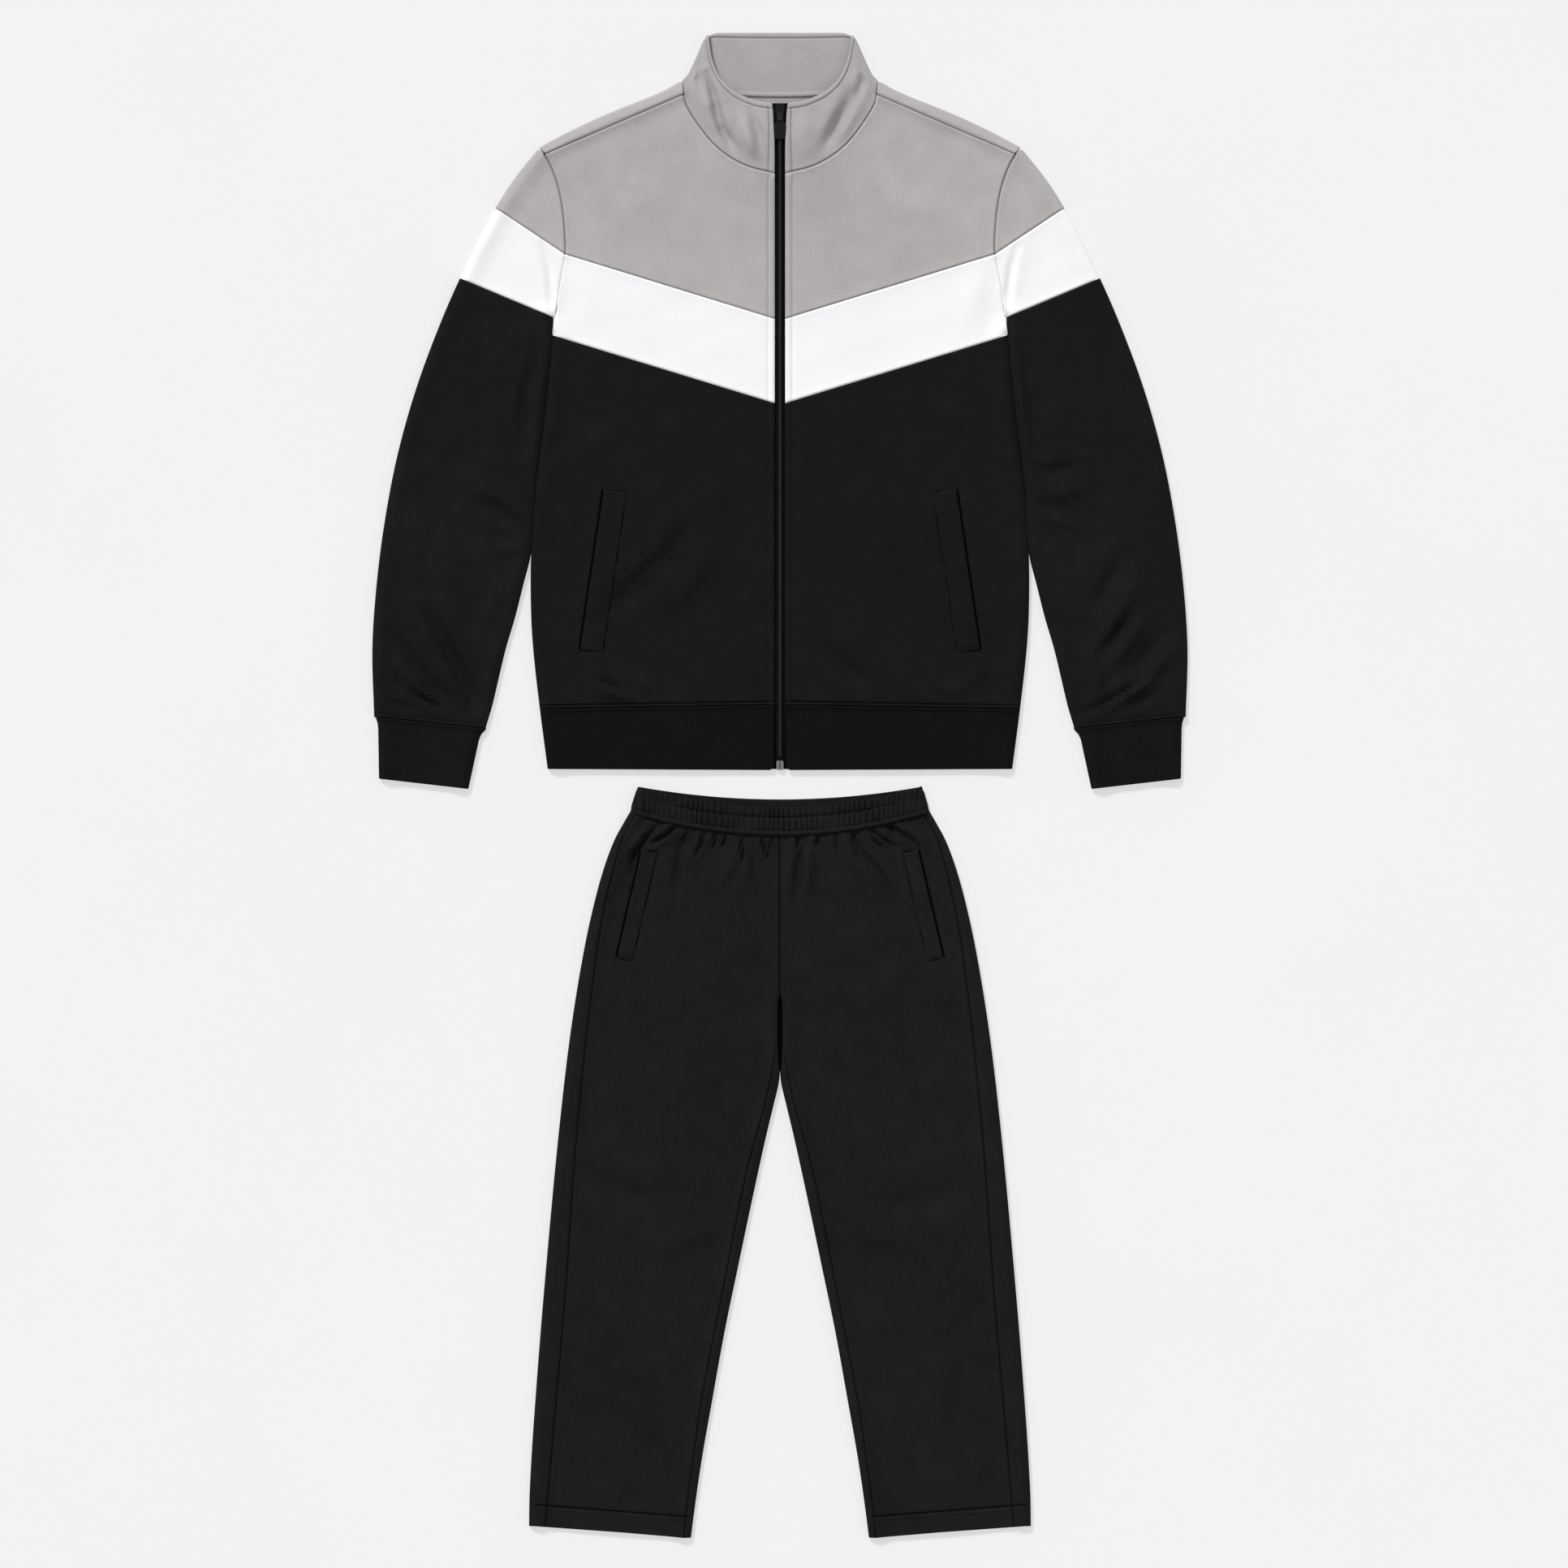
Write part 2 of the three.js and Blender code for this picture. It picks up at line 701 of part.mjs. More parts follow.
function wrapRow(arm, outer, middle) {
  const over = row(arm, outer, middle, false, true);
  const under = row(outer, arm, 1, true, false, ROLL_STEPS);
  return [
    ...over.map((p) => upper(p, SLEEVE_FOLDS)),
    fold(outer),
    ...under.map((p) => lower(p, SLEEVE_FOLDS)),
  ];
}

function sleeveCap() {
  const ys = [648.6, ...ARMHOLE_ROWS.slice(1)];
  const rows = ys.map((y, i) => {
    const t = i / (ys.length - 1);
    const yOuter = lerp(649.4, 590.5, t ** 1.15);
    const inset = i === ys.length - 1 ? SEAM_SIDE : 0;
    const arm = { x: onArmhole(y) + SEAM + 0.1, y: y + inset };
    return wrapRow(arm, { x: onSleeveOuter(yOuter + inset), y: yOuter + inset }, 3);
  });
  return [rows];
}

function sleeveBand() {
  const ys = [543, 527.5, 502, 478.5];
  const rows = ys.map((y, i) => {
    const t = (543 - y) / (543 - 478.5);
    const inset = i === 0 ? -SEAM_SIDE : i === ys.length - 1 ? SEAM_SIDE : 0;
    const yOuter = lerp(590.5, 518.3, t) + inset;
    const arm = { x: onArmhole(y + inset) + SEAM_SIDE, y: y + inset };
    return wrapRow(arm, { x: onSleeveOuter(yOuter), y: yOuter }, 3);
  });
  return [rows];
}

// A closed tube laid flat: round from the inner fold over the top to the outer fold and back
function flatRing(inner, outer, middle, folds, flat) {
  const over = row(inner, outer, middle, true, true);
  const under = row(outer, inner, 2, true, true, ROLL_STEPS);
  return [
    fold(inner),
    ...over.map((p) => upper(p, folds, flat)),
    fold(outer),
    ...under.map((p) => lower(p, folds)),
    fold(inner),
  ];
}

function lowerSleeve() {
  const count = 11;
  const rows = [];
  for (let i = 0; i <= count; i += 1) {
    const inset = i === 0 ? -SEAM_SIDE : i === count ? SEAM_SIDE : 0;
    const yIn = lerp(478.5, 60, i / count) + inset;
    const yOut = lerp(518.3, 72, i / count) + inset;
    const inner = { x: onSleeveInner(yIn) + SEAM_SIDE, y: yIn };
    rows.push(flatRing(inner, { x: onSleeveOuter(yOut), y: yOut }, 2, SLEEVE_FOLDS));
  }
  return [rows];
}

// Ribs run down the rows; only the side that shows is raised, and the rest lies plain
function ribbed(a, b, ribs, folds, flat) {
  const length = distance(a, b);
  const edge = 1.5 * ROLL;
  const head = [0.13, 0.5, 1].map((part) => part * ROLL);
  const crests = Array.from({ length: 2 * ribs + 1 }, (_, i) => lerp(edge, length - edge, i / 2 / ribs));
  const plain = [...head, ...head.map((d) => length - d)];
  const places = [...plain, ...crests].sort((p, q) => p - q);
  return places.map((far) => {
    const order = crests.indexOf(far);
    return raised(upper(step(a, b, far), folds, flat), order % 2 === 1 ? RIB_RISE : 0);
  });
}

function plainBelow(a, b, middle, folds) {
  const head = [0.13, 0.5, 1, 3].map((part) => part * ROLL);
  const length = distance(a, b);
  const inside = Array.from({ length: middle - 1 }, (_, i) => lerp(0, length, (i + 1) / middle));
  const places = [...head, ...inside, ...head.map((d) => length - d)].sort((p, q) => p - q);
  return places.map((far) => lowerBoth(step(a, b, far), folds));
}

function cuff() {
  const ribs = Math.round(distance(CUFF.top.inner, CUFF.top.outer) / RIB_PITCH) - 2;
  const rows = [CUFF.top, CUFF.end].map(({ inner, outer }) => [
    fold(inner),
    ...ribbed(inner, outer, ribs, CUFF_FOLDS, RIB_TOP),
    fold(outer),
    ...plainBelow(outer, inner, 4, CUFF_FOLDS),
    fold(inner),
  ]);
  return [rows];
}

// Hem band: one strip from the zip over the front, round under the back and up to the zip again
function hemBand() {
  const folds = [BODY_SIDE_FOLD];
  const ribs = Math.round(onBodySide(CHEST.hemSeam.side) / RIB_PITCH) - 4;
  const levels = [
    { zip: CHEST.hemSeam.zip - SEAM_SIDE, side: CHEST.hemSeam.side - SEAM_SIDE, x: ZIP_HALF },
    { zip: CHEST.hemEdge.zip, side: CHEST.hemEdge.side, x: ZIP_HALF + 1 },
  ];
  const rows = levels.map(({ zip, side, x }) => {
    const start = { x, y: zip };
    const turn = { x: onBodySide(side), y: side };
    const length = distance(start, turn);
    const crests = Array.from({ length: 2 * ribs + 1 }, (_, i) => lerp(0.1, length - 1.5 * ROLL, i / 2 / ribs));
    const front = [...crests, length - ROLL, length - 0.5 * ROLL, length - 0.13 * ROLL].map((far, i) => {
      const rise = i % 2 === 1 && i < 2 * ribs ? RIB_RISE : 0;
      return raised(upper(step(start, turn, far), folds, RIB_TOP), rise);
    });
    const other = front.slice().reverse().map((p) => {
      const copy = p.clone();
      copy.x *= -1;
      return raised(copy, p.rise);
    });
    return [...front, fold(turn), ...plainBelow(turn, mirrorX(turn), 8, folds), fold(mirrorX(turn)), ...other];
  });
  return [rows];
}

// Collar: up from the neck seam all round, the back half lying on the surface, the front half
// standing over it so that the neck gapes

function mouthZ(x) {
  const level = 2 * COLLAR_ROLL + 0.2;
  return lerp(MOUTH_Z, level, Math.min(1, (x / 75) ** 2));
}

function seamZ(x, y) {
  return upper({ x, y }, BODY_FOLDS).z;
}

const COLLAR_ROWS = [0, 0.15, 0.4, 0.75, 0.92, 1];

function collarHalf(v) {
  const front = NECK_FRONT.map((p) => {
    const from = { x: p.x, y: p.y };
    const plan = between(step(from, { x: p.topX, y: p.topY }, SEAM_SIDE), { x: p.topX, y: p.topY }, v);
    const low = Math.min(seamZ(p.x, p.y), mouthZ(p.x) + 1);
    return new THREE.Vector3(plan.x, plan.y, lerp(low, mouthZ(p.topX), v));
  });
  const side = { x: along(COLLAR_SIDE, "part", v, "x"), y: along(COLLAR_SIDE, "part", v, "y") };
  const back = NECK_BACK.map((p) => ({
    x: lerp(p.x, p.topX, v),
    y: lerp(p.y + SEAM_SIDE, p.topY, v),
  }));
  const turn = [0.13, 0.5, 1].map((part) => part * COLLAR_ROLL);
  const lastFront = { x: front.at(-1).x, y: front.at(-1).y };
  const level = front.at(-1).z;
  const over = turn.map((d) => {
    const p = step(side, lastFront, d);
    return new THREE.Vector3(p.x, p.y, lerp(COLLAR_ROLL, level, rollHeight(d, COLLAR_ROLL) / COLLAR_ROLL));
  });
  const under = turn.map((d) => {
    const p = step(side, back[0], d);
    return new THREE.Vector3(p.x, p.y, COLLAR_ROLL - rollHeight(d, COLLAR_ROLL));
  });
  return [
    ...front,
    ...over.reverse(),
    new THREE.Vector3(side.x, side.y, COLLAR_ROLL),
    ...under,
    ...back.map((p) => new THREE.Vector3(p.x, p.y, 0)),
  ];
}

function collar() {
  const rows = COLLAR_ROWS.map((v) => {
    const half = collarHalf(v);
    const other = half.slice(0, -1).reverse().map((p) => new THREE.Vector3(-p.x, p.y, p.z));
    return [...half, ...other];
  });
  return [rows];
}

// Zip: two tapes with the coil under their inner edges, following the front up the collar

function zipZ(y) {
  if (y <= CHEST.neck) {
    return upper({ x: 0, y }, BODY_FOLDS).z;
  }
  const v = (y - CHEST.neck) / (CHEST.mouth - CHEST.neck);
  return lerp(upper({ x: 0, y: CHEST.neck }, BODY_FOLDS).z, MOUTH_Z, v);
}

function tapeEdge(y) {
  const v = THREE.MathUtils.clamp((y - CHEST.neck) / (CHEST.mouth - CHEST.neck), 0, 1);
  return lerp(ZIP_HALF, ZIP_HALF_TOP, v) - SEAM - SEAM_SIDE;
}

function zipTape() {
  const ys = [25.8, 83, 240, 390, 477, 520, 555, 585, 610, 640, 668, 696.6];
  const rows = ys.map((y) => {
    const outer = tapeEdge(y);
    const z = zipZ(y) - SEAM;
    const across = [
      { x: 0.15, rise: 0 },
      { x: 0.8, rise: COIL_RISE },
      { x: 2.7, rise: COIL_RISE },
      { x: 3.4, rise: 0 },
      { x: outer, rise: 0 },
    ];
    return across.map(({ x, rise }) => raised(new THREE.Vector3(x, y, z), rise));
  });
  return [rows];
}

function toSolid(geometry) {
  const source = geometry.index ? geometry.toNonIndexed() : geometry;
  const position = source.attributes.position;
  const known = new Map();
  const vertProperties = [];
  const triVerts = [];
  for (let i = 0; i < position.count; i += 1) {
    const p = [position.getX(i), position.getY(i), position.getZ(i)];
    const key = p.map((v) => Math.round(v * 1e4)).join();
    if (!known.has(key)) {
      known.set(key, vertProperties.length / 3);
      vertProperties.push(...p);
    }
    triVerts.push(known.get(key));
  }
  return new wasm.Manifold(new wasm.Mesh({
    numProp: 3,
    vertProperties: new Float32Array(vertProperties),
    triVerts: new Uint32Array(triVerts),
  }));
}

function fromSolid(solid) {
  const { vertProperties, triVerts } = solid.getMesh();
  const geometry = new THREE.BufferGeometry();
  geometry.setAttribute("position", new THREE.Float32BufferAttribute(vertProperties, 3));
  geometry.setIndex([...triVerts]);
  return geometry;
}

function outline(points) {
  return new THREE.Shape(points.map(([x, y]) => new THREE.Vector2(x, y)));
}

function slab(shape, depth, z) {
  const geometry = new THREE.ExtrudeGeometry(shape, { depth, bevelEnabled: false });
  return geometry.translate(0, 0, z);
}

const PLATE_Z = COIL_RISE - SEAM + 0.35;
const HINGE_Z = PLATE_Z + SLIDER.plate + SLIDER.windowHigh / 2;

// The slider's plate narrows towards the hem, and carries the arch that holds the pull
function sliderGeometry() {
  const half = SLIDER.long / 2;
  const plate = toSolid(slab(outline([
    [-SLIDER.wide / 2 + 1, half],
    [-SLIDER.wide / 2, half - 1.5],
    [-SLIDER.wide / 2, half / 3],
    [-SLIDER.narrow / 2, -half + 1],
    [-SLIDER.narrow / 2 + 1, -half],
    [SLIDER.narrow / 2 - 1, -half],
    [SLIDER.narrow / 2, -half + 1],
    [SLIDER.wide / 2, half / 3],
    [SLIDER.wide / 2, half - 1.5],
    [SLIDER.wide / 2 - 1, half],
  ]), SLIDER.plate, PLATE_Z));
  // arch drawn from the side: x here is along the zip, y is up
  const a = SLIDER.archHalf;
  const w = SLIDER.windowHalf;
  const foot = -SLIDER.windowHigh / 2 - SLIDER.plate / 2;
  const top = SLIDER.windowHigh / 2 + SLIDER.archTop;
  const side = outline([
    [-a, foot],
    [-w, foot],
    [-w, SLIDER.windowHigh / 2],
    [w, SLIDER.windowHigh / 2],
    [w, foot],
    [a, foot],
    [a, top - 1],
    [a - 1, top],
    [1 - a, top],
    [-a, top - 1],
  ]);
  const arch = new THREE.ExtrudeGeometry(side, { depth: SLIDER.archWide, bevelEnabled: false });
  arch.translate(0, 0, -SLIDER.archWide / 2);
  arch.rotateX(Math.PI / 2);
  arch.rotateZ(Math.PI / 2);
  arch.translate(0, SLIDER.hingeY, HINGE_Z);
  return fromSolid(plate.add(toSolid(arch)));
}

// The pull in its own frame: the bar in the arch at 0, the tab towards the hem
function pullGeometry() {
  const { bar, armOut, armIn, holeEnd, tabStart, tabEnd, tabHalf, corner, thick } = PULL;
  const shape = outline([
    [-armOut, bar],
    [-armOut, -holeEnd + 1],
    [-tabHalf + 0.8, -tabStart],
    [-tabHalf, -tabStart - 1.4],
    [-tabHalf, -tabEnd + corner],
    [-tabHalf + corner, -tabEnd],
    [tabHalf - corner, -tabEnd],
    [tabHalf, -tabEnd + corner],
    [tabHalf, -tabStart - 1.4],
    [tabHalf - 0.8, -tabStart],
    [armOut, -holeEnd + 1],
    [armOut, bar],
  ]);
  const hole = outline([
    [-armIn, -bar],
    [armIn, -bar],
    [armIn, -holeEnd],
    [-armIn, -holeEnd],
  ]);
  shape.holes.push(hole);
  return slab(shape, thick, -thick / 2);
}

function zipBoxGeometry() {
  const { half, top, end, high } = ZIP_BOX;
  const body = toSolid(slab(outline([
    [-half + 0.8, top],
    [-half, top - 0.8],
    [-half, end + 1.2],
    [-half + 1.2, end],
    [half - 1.2, end],
    [half, end + 1.2],
    [half, top - 0.8],
    [half - 0.8, top],
  ]), high, CLOTH + 0.4));
  const groove = toSolid(slab(outline([
    [-0.4, top + 1],
    [-0.4, end + 2],
    [0.4, end + 2],
    [0.4, top + 1],
  ]), high, CLOTH + 0.4 + high - 0.6));
  return fromSolid(body.subtract(groove));
}

// Pocket welts: a patch made from the panel's own points, moved out
function welt({ topOut, topIn, endIn, endOut }, folds) {
  const rows = [];
  const count = 4;
  for (let i = 0; i <= count; i += 1) {
    const inner = between(topIn, endIn, i / count);
    const outer = between(topOut, endOut, i / count);
    const line = [0, 0.12, 0.5, 0.88, 1].map((t) => {
      const p = upper(between(inner, outer, t), folds);
      return raised(p, t === 0 || t === 1 ? -0.5 : 0);
    });
    rows.push(line);
  }
  return [rows];
}

// Trousers

function curveY({ mid, side }, x, half) {
  return lerp(mid, side, (x / half) ** 2);
}

// How far a row near the waist bows below a straight line, fading down the leg
const BOW_DEPTH = 70;

function bow(start, end, part, depth) {
  const fade = 1 - THREE.MathUtils.smoothstep(depth, 0, BOW_DEPTH);
  return (end.y - start.y) * (part * part - part) * fade;
}

const GATHERS = 8;

function legFront() {
  const rows = LEG_ROWS.map(({ inner, outer }) => {
    const depth = WAIST.frontSeam.mid - inner;
    const x = inner >= CROTCH + 1 ? SEAM_SIDE : onSeamInner(inner);
    const start = { x, y: inner };
    const end = { x: onSeamOuter(outer), y: outer };
    const fade = 1 - THREE.MathUtils.smoothstep(depth, 4, 19);
    return Array.from({ length: 2 * GATHERS + 1 }, (_, i) => {
      const p = between(start, end, i / 2 / GATHERS);
      p.y += bow(start, end, i / 2 / GATHERS, depth);
      const point = raised(upper(p, LEG_FOLDS), i % 2 === 1 ? GATHER_RISE * fade : 0);
      return i === 0 || i === 2 * GATHERS ? plumb(point) : point;
    });
  });
  return [rows];
}

function legBack() {
  const rows = LEG_ROWS.map(({ inner, outer }) => {
    const depth = WAIST.frontSeam.mid - inner;
    const lift = inner > -60 ? WAIST.backSeam.mid - WAIST.frontSeam.mid : 0;
    const crotch = inner <= CROTCH;
    const yIn = inner + lift * (1 - THREE.MathUtils.smoothstep(depth, 0, 20));
    const start = { x: crotch ? onLegInner(inner) : SEAM_SIDE, y: yIn };
    const end = { x: onLegOuter(outer), y: outer };
    const length = distance(start, end);
    const across = stations(length, 4, true, true, ROLL_STEPS).map((d) => {
      const p = step(start, end, d);
      p.y += bow(start, end, d / length, depth);
      return lower(p, LEG_FOLDS);
    });
    const first = crotch ? legFold(start) : lower(start, LEG_FOLDS);
    const seam = onSeamOuter(outer) + SEAM + SEAM_SIDE;
    const over = wrapOver(end, seam);
    return [first, ...across, fold(end), ...over];
  });
  const inside = LEG_ROWS.filter(({ inner }) => inner <= CROTCH).map(({ inner }) => {
    const start = { x: onLegInner(inner), y: inner };
    if (inner === CROTCH) {
      return Array.from({ length: WRAP_STEPS.length + 1 }, () => legFold(start));
    }
    const seam = onSeamInner(inner) - SEAM - SEAM_SIDE;
    return [...wrapOver(start, seam).reverse(), fold(start)];
  });
  return [rows, inside];
}

// The inner fold of a leg starts thin at the crotch, where the front's seam comes up beside it
function legFold(at) {
  return thinned(fold(at), at.y === CROTCH ? 0.25 : 1);
}

const WRAP_STEPS = [0.03, 0.12, 0.3, 1];
const NARROW = 9;

// From a fold inward on the upper side to the seam
function wrapOver(at, seamX) {
  const share = Math.min(1, Math.abs(seamX - at.x) / NARROW);
  return WRAP_STEPS.map((t) => {
    const point = thinned(upper({ x: lerp(at.x, seamX, t), y: at.y }, LEG_FOLDS), share);
    return t === 1 ? plumb(point) : point;
  });
}

// Waistband: a closed gathered tube, pinched by the channel stitching a third below its top
const WAIST_ROWS = [0, 0.66, 1];

function waistband() {
  const folds = [[
    { x: WAIST.seamHalf, y: WAIST.frontSeam.side },
    { x: WAIST.topHalf, y: WAIST.frontTop.side },
  ]];
  const rows = WAIST_ROWS.map((v) => {
    const half = lerp(WAIST.seamHalf, WAIST.topHalf, v);
    const frontY = (x) => lerp(
      curveY(WAIST.frontSeam, x, half) + SEAM,
      curveY(WAIST.frontTop, x, half),
      v,
    );
    const backY = (x) => lerp(
      curveY(WAIST.backSeam, x, half) + SEAM,
      curveY(WAIST.backTop, x, half),
      v,
    );
    const turn = [0.13, 0.5, 1].map((part) => half - part * ROLL);
    const waves = Array.from({ length: 2 * WAIST_WAVES + 1 }, (_, i) => lerp(-1, 1, i / 2 / WAIST_WAVES));
    const crests = waves.map((w, i) => ({ x: w * (half - 2 * ROLL), wave: i % 2 === 1 }));
    const ends = turn.map((x) => ({ x, wave: false }));
    const starts = ends.map(({ x, wave }) => ({ x: -x, wave }));
    const pinch = v === 0.66 ? 0.3 : 1;
    const front = [...starts, ...crests, ...ends.slice().reverse()].map(({ x, wave }) => {
      const point = upper({ x: Math.abs(x), y: frontY(x) }, folds, WAIST_TOP);
      point.x = x;
      return raised(point, wave ? GATHER_RISE * pinch : 0);
    });
    const backX = [...turn, 110, 75, 40, 0, -40, -75, -110, ...turn.slice().reverse().map((x) => -x)];
    const back = backX.map((x) => {
      const point = lower({ x: Math.abs(x), y: backY(x) }, folds);
      point.x = x;
      return point;
    });
    const end = fold({ x: half, y: frontY(half) });
    const start = fold({ x: -half, y: frontY(half) });
    return [start, ...front, end, ...back, start.clone()];
  });
  return [rows];
}

// Assembly

addPair("jacket_front_yoke", frontYoke(), {}, GREY);
addPair("jacket_front_band", frontBand(), {}, WHITE);
addPair("jacket_front_body", frontBody(), {}, BLACK);
add("jacket_back_yoke", wall(backYoke(), { facing: "down" }), GREY);
add("jacket_back_band", wall(backBand(), { facing: "down" }), WHITE);
add("jacket_back_body", wall(backBody(), { facing: "down" }), BLACK);
addPair("sleeve_cap", sleeveCap(), {}, GREY);
addPair("sleeve_band", sleeveBand(), {}, WHITE);
addPair("sleeve_lower", lowerSleeve(), {}, BLACK);
addPair("sleeve_cuff", cuff(), { low: -RIB_CLOTH }, RIB);
add("jacket_hem_band", wall(hemBand(), { low: -RIB_CLOTH }), RIB);
add("jacket_collar", wall(collar(), { low: -COLLAR_CLOTH }), COLLAR);
addPair("zip_tape", zipTape(), { low: -TAPE_THICK }, TAPE);
addPair("jacket_pocket_welt", welt(JACKET_WELT, BODY_FOLDS), { low: SEAM, high: SEAM + WELT_THICK }, BLACK);
add("zip_bottom_box", zipBoxGeometry(), METAL);

const zipSlope = Math.atan2(zipZ(CHEST.mouth) - zipZ(CHEST.neck), CHEST.mouth - CHEST.neck);
const sliderGroup = new THREE.Group();
sliderGroup.position.set(0, SLIDER.y, zipZ(SLIDER.y));
sliderGroup.rotation.x = zipSlope;
const slider = new THREE.Mesh(sliderGeometry(), TAB);
slider.name = "zip_slider";
const pull = new THREE.Mesh(pullGeometry(), TAB);
pull.name = "zip_pull_tab";
pull.position.set(0, SLIDER.hingeY, HINGE_Z);
pull.rotation.x = THREE.MathUtils.degToRad(PULL.droop);
sliderGroup.add(slider, pull);
suit.add(sliderGroup);

addPair("trouser_front", legFront(), {}, BLACK);
addPair("trouser_back", legBack(), { facing: "down" }, BLACK);
add("trouser_waistband", wall(waistband(), { low: -WAIST_CLOTH }), RIB);
addPair("trouser_pocket_welt", welt(TROUSER_WELT, LEG_FOLDS), { low: SEAM, high: SEAM + WELT_THICK }, BLACK);

export default suit;
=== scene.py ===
# %% [markdown]
# A two-piece tracksuit laid out flat: a zipped jacket above, its trousers below.
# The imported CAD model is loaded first, because every piece here lies where a solid lies.
# The solids stay for collision, and finer cloth made in this file is shown in their place.

# %% Load the frame
import math

import bpy
import numpy as np
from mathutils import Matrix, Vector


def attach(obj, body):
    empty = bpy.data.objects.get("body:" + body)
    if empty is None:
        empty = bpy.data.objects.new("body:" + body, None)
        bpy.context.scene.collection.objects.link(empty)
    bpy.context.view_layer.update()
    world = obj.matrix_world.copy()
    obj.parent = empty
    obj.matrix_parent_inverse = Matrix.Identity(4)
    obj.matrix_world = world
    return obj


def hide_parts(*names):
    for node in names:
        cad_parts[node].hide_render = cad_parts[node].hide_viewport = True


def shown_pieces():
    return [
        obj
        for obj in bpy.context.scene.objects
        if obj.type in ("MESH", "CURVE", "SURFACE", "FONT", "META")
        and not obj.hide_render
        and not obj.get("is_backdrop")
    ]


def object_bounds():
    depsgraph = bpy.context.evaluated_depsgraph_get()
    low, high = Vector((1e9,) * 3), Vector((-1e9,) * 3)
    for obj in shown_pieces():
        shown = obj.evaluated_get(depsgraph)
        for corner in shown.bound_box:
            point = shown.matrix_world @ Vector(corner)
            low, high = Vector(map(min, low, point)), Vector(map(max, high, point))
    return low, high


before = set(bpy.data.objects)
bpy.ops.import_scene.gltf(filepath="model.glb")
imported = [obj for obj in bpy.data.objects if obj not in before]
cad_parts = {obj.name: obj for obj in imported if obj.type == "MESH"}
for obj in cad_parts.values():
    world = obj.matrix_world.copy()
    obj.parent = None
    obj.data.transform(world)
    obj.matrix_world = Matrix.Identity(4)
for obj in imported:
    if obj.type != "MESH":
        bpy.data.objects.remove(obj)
CAD_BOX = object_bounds()
print("CAD nodes:", len(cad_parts))

# %% [markdown]
# All sizes are the pattern's own, in millimetres: X runs across from the zip, Y up towards the
# collar, Z up from the surface. Tables hold the right half, and the left half mirrors it.
# Each table has two columns, so that one smooth line runs through its points.

# %% Sizes of the cloth
MM = 0.001
CLOTH, RIB_CLOTH, COLLAR_CLOTH, WAIST_CLOTH = 1.2, 1.6, 2.4, 1.8
LAYER_GAP, SEAM, SEAM_SIDE = 0.3, 0.05, 0.02
ROLL, SETTLE, COLLAR_ROLL = 3.0, 22.0, 3.5
FLAT_TOP, RIB_TOP, WAIST_TOP = 3.0, 3.6, 4.2
MOUTH_Z = 14.5
ZIP_HALF, ZIP_STITCH = 5.35, 12.4
NECK, MOUTH = 625.4, 697.0
GREY_ZIP, GREY_SIDE, WHITE_ZIP, WHITE_SIDE = 477.0, 543.0, 390.5, 460.0
BAND_WIDE, YOKE_MIDDLE, SHOULDER_POINT = 83, 560, 652
HEM_SEAM_ZIP, HEM_SEAM_SIDE, HEM_ZIP, HEM_SIDE = 81.9, 77.8, 15.4, 16.5
CROTCH, CENTRE_END, TROUSER_END = -218.0, -214, -769.4
CUFF_WIDE, HEM_WIDE, COLLAR_WIDE, WAIST_WIDE = 64, 66, 70, 28

# %% Outlines of the jacket
SHOULDER = [(103, 719), (117, 711), (175, 687), (217, 667.5), (246, 652)]
SLEEVE_OUTER = [
    (652, 246), (620.5, 271.2), (590.5, 290.6), (518.3, 327.2), (471, 347.8), (404.6, 372.3),
    (338, 391), (272, 403.8), (205, 412.5), (139, 416.8), (72, 415),
]
SLEEVE_INNER = [
    (478.5, 231.6), (460, 232.4), (371, 241.6), (305, 249.8), (236, 254.6), (205, 262.3),
    (172, 270.6), (139, 280.3), (106, 288.2), (80, 294.4), (60, 300.4),
]
BODY_SIDE = [
    (460, 232.6), (371, 241.8), (305, 250.0), (236, 254.5), (172, 254.4), (139, 252.3),
    (79.3, 245.7), (16.5, 237.5),
]
ARMHOLE = [
    (652, 246), (637, 236.3), (613, 227), (586, 221.8), (565, 220), (543, 219.6),
    (527.5, 222.6), (477, 230.6), (460, 232.6),
]
ARMHOLE_ROWS = [645.5, 640, 631, 620, 607, 593, 577, 560, 543]
SEAM_NECK, SEAM_ARM = (98.8, 706), (239.3, 645.6)
# Front neck seam, and the collar's top edge above it, numbered from the zip to the side
NECK_X = [(0, 5.4), (1, 31.5), (2, 52), (3, 69), (4, 84), (5, 95.5), (6, 98.6)]
NECK_Y = [(0, 625.4), (1, 632), (2, 642.4), (3, 656.5), (4, 675.7), (5, 694.3), (6, 705.4)]
TOP_X = [(0, 9.6), (1, 24), (2, 39), (3, 50), (4, 61.4), (5, 68.9), (6, 71.6)]
TOP_Y = [(0, 697), (1, 699.5), (2, 705.1), (3, 712), (4, 724.2), (5, 741.6), (6, 755)]
# The collar's side fold, from its seam, 0, to its top edge, 1
COLLAR_SIDE_X = [
    (0, 100.5), (0.15, 94.5), (0.3, 90.3), (0.5, 85.8), (0.75, 80.5), (0.9, 77), (1, 73),
]
COLLAR_SIDE_Y = [
    (0, 719.6), (0.15, 726.5), (0.3, 734.5), (0.5, 744), (0.75, 756.5), (0.9, 763.3), (1, 767),
]
NECK_BACK = [(0, 703.4), (30, 704), (60, 706.3), (80, 709.4), (95, 713.6)]
BACK_TOP = [(0, 0), (30, 20), (60, 40), (80, 52), (95, 64)]
BACK_TOP_Y, BACK_EDGE = 769.4, 95
CUFF_TOP, CUFF_END = ((305, 58.4), (411, 69.7)), ((318.5, -3.9), (410, 6.6))
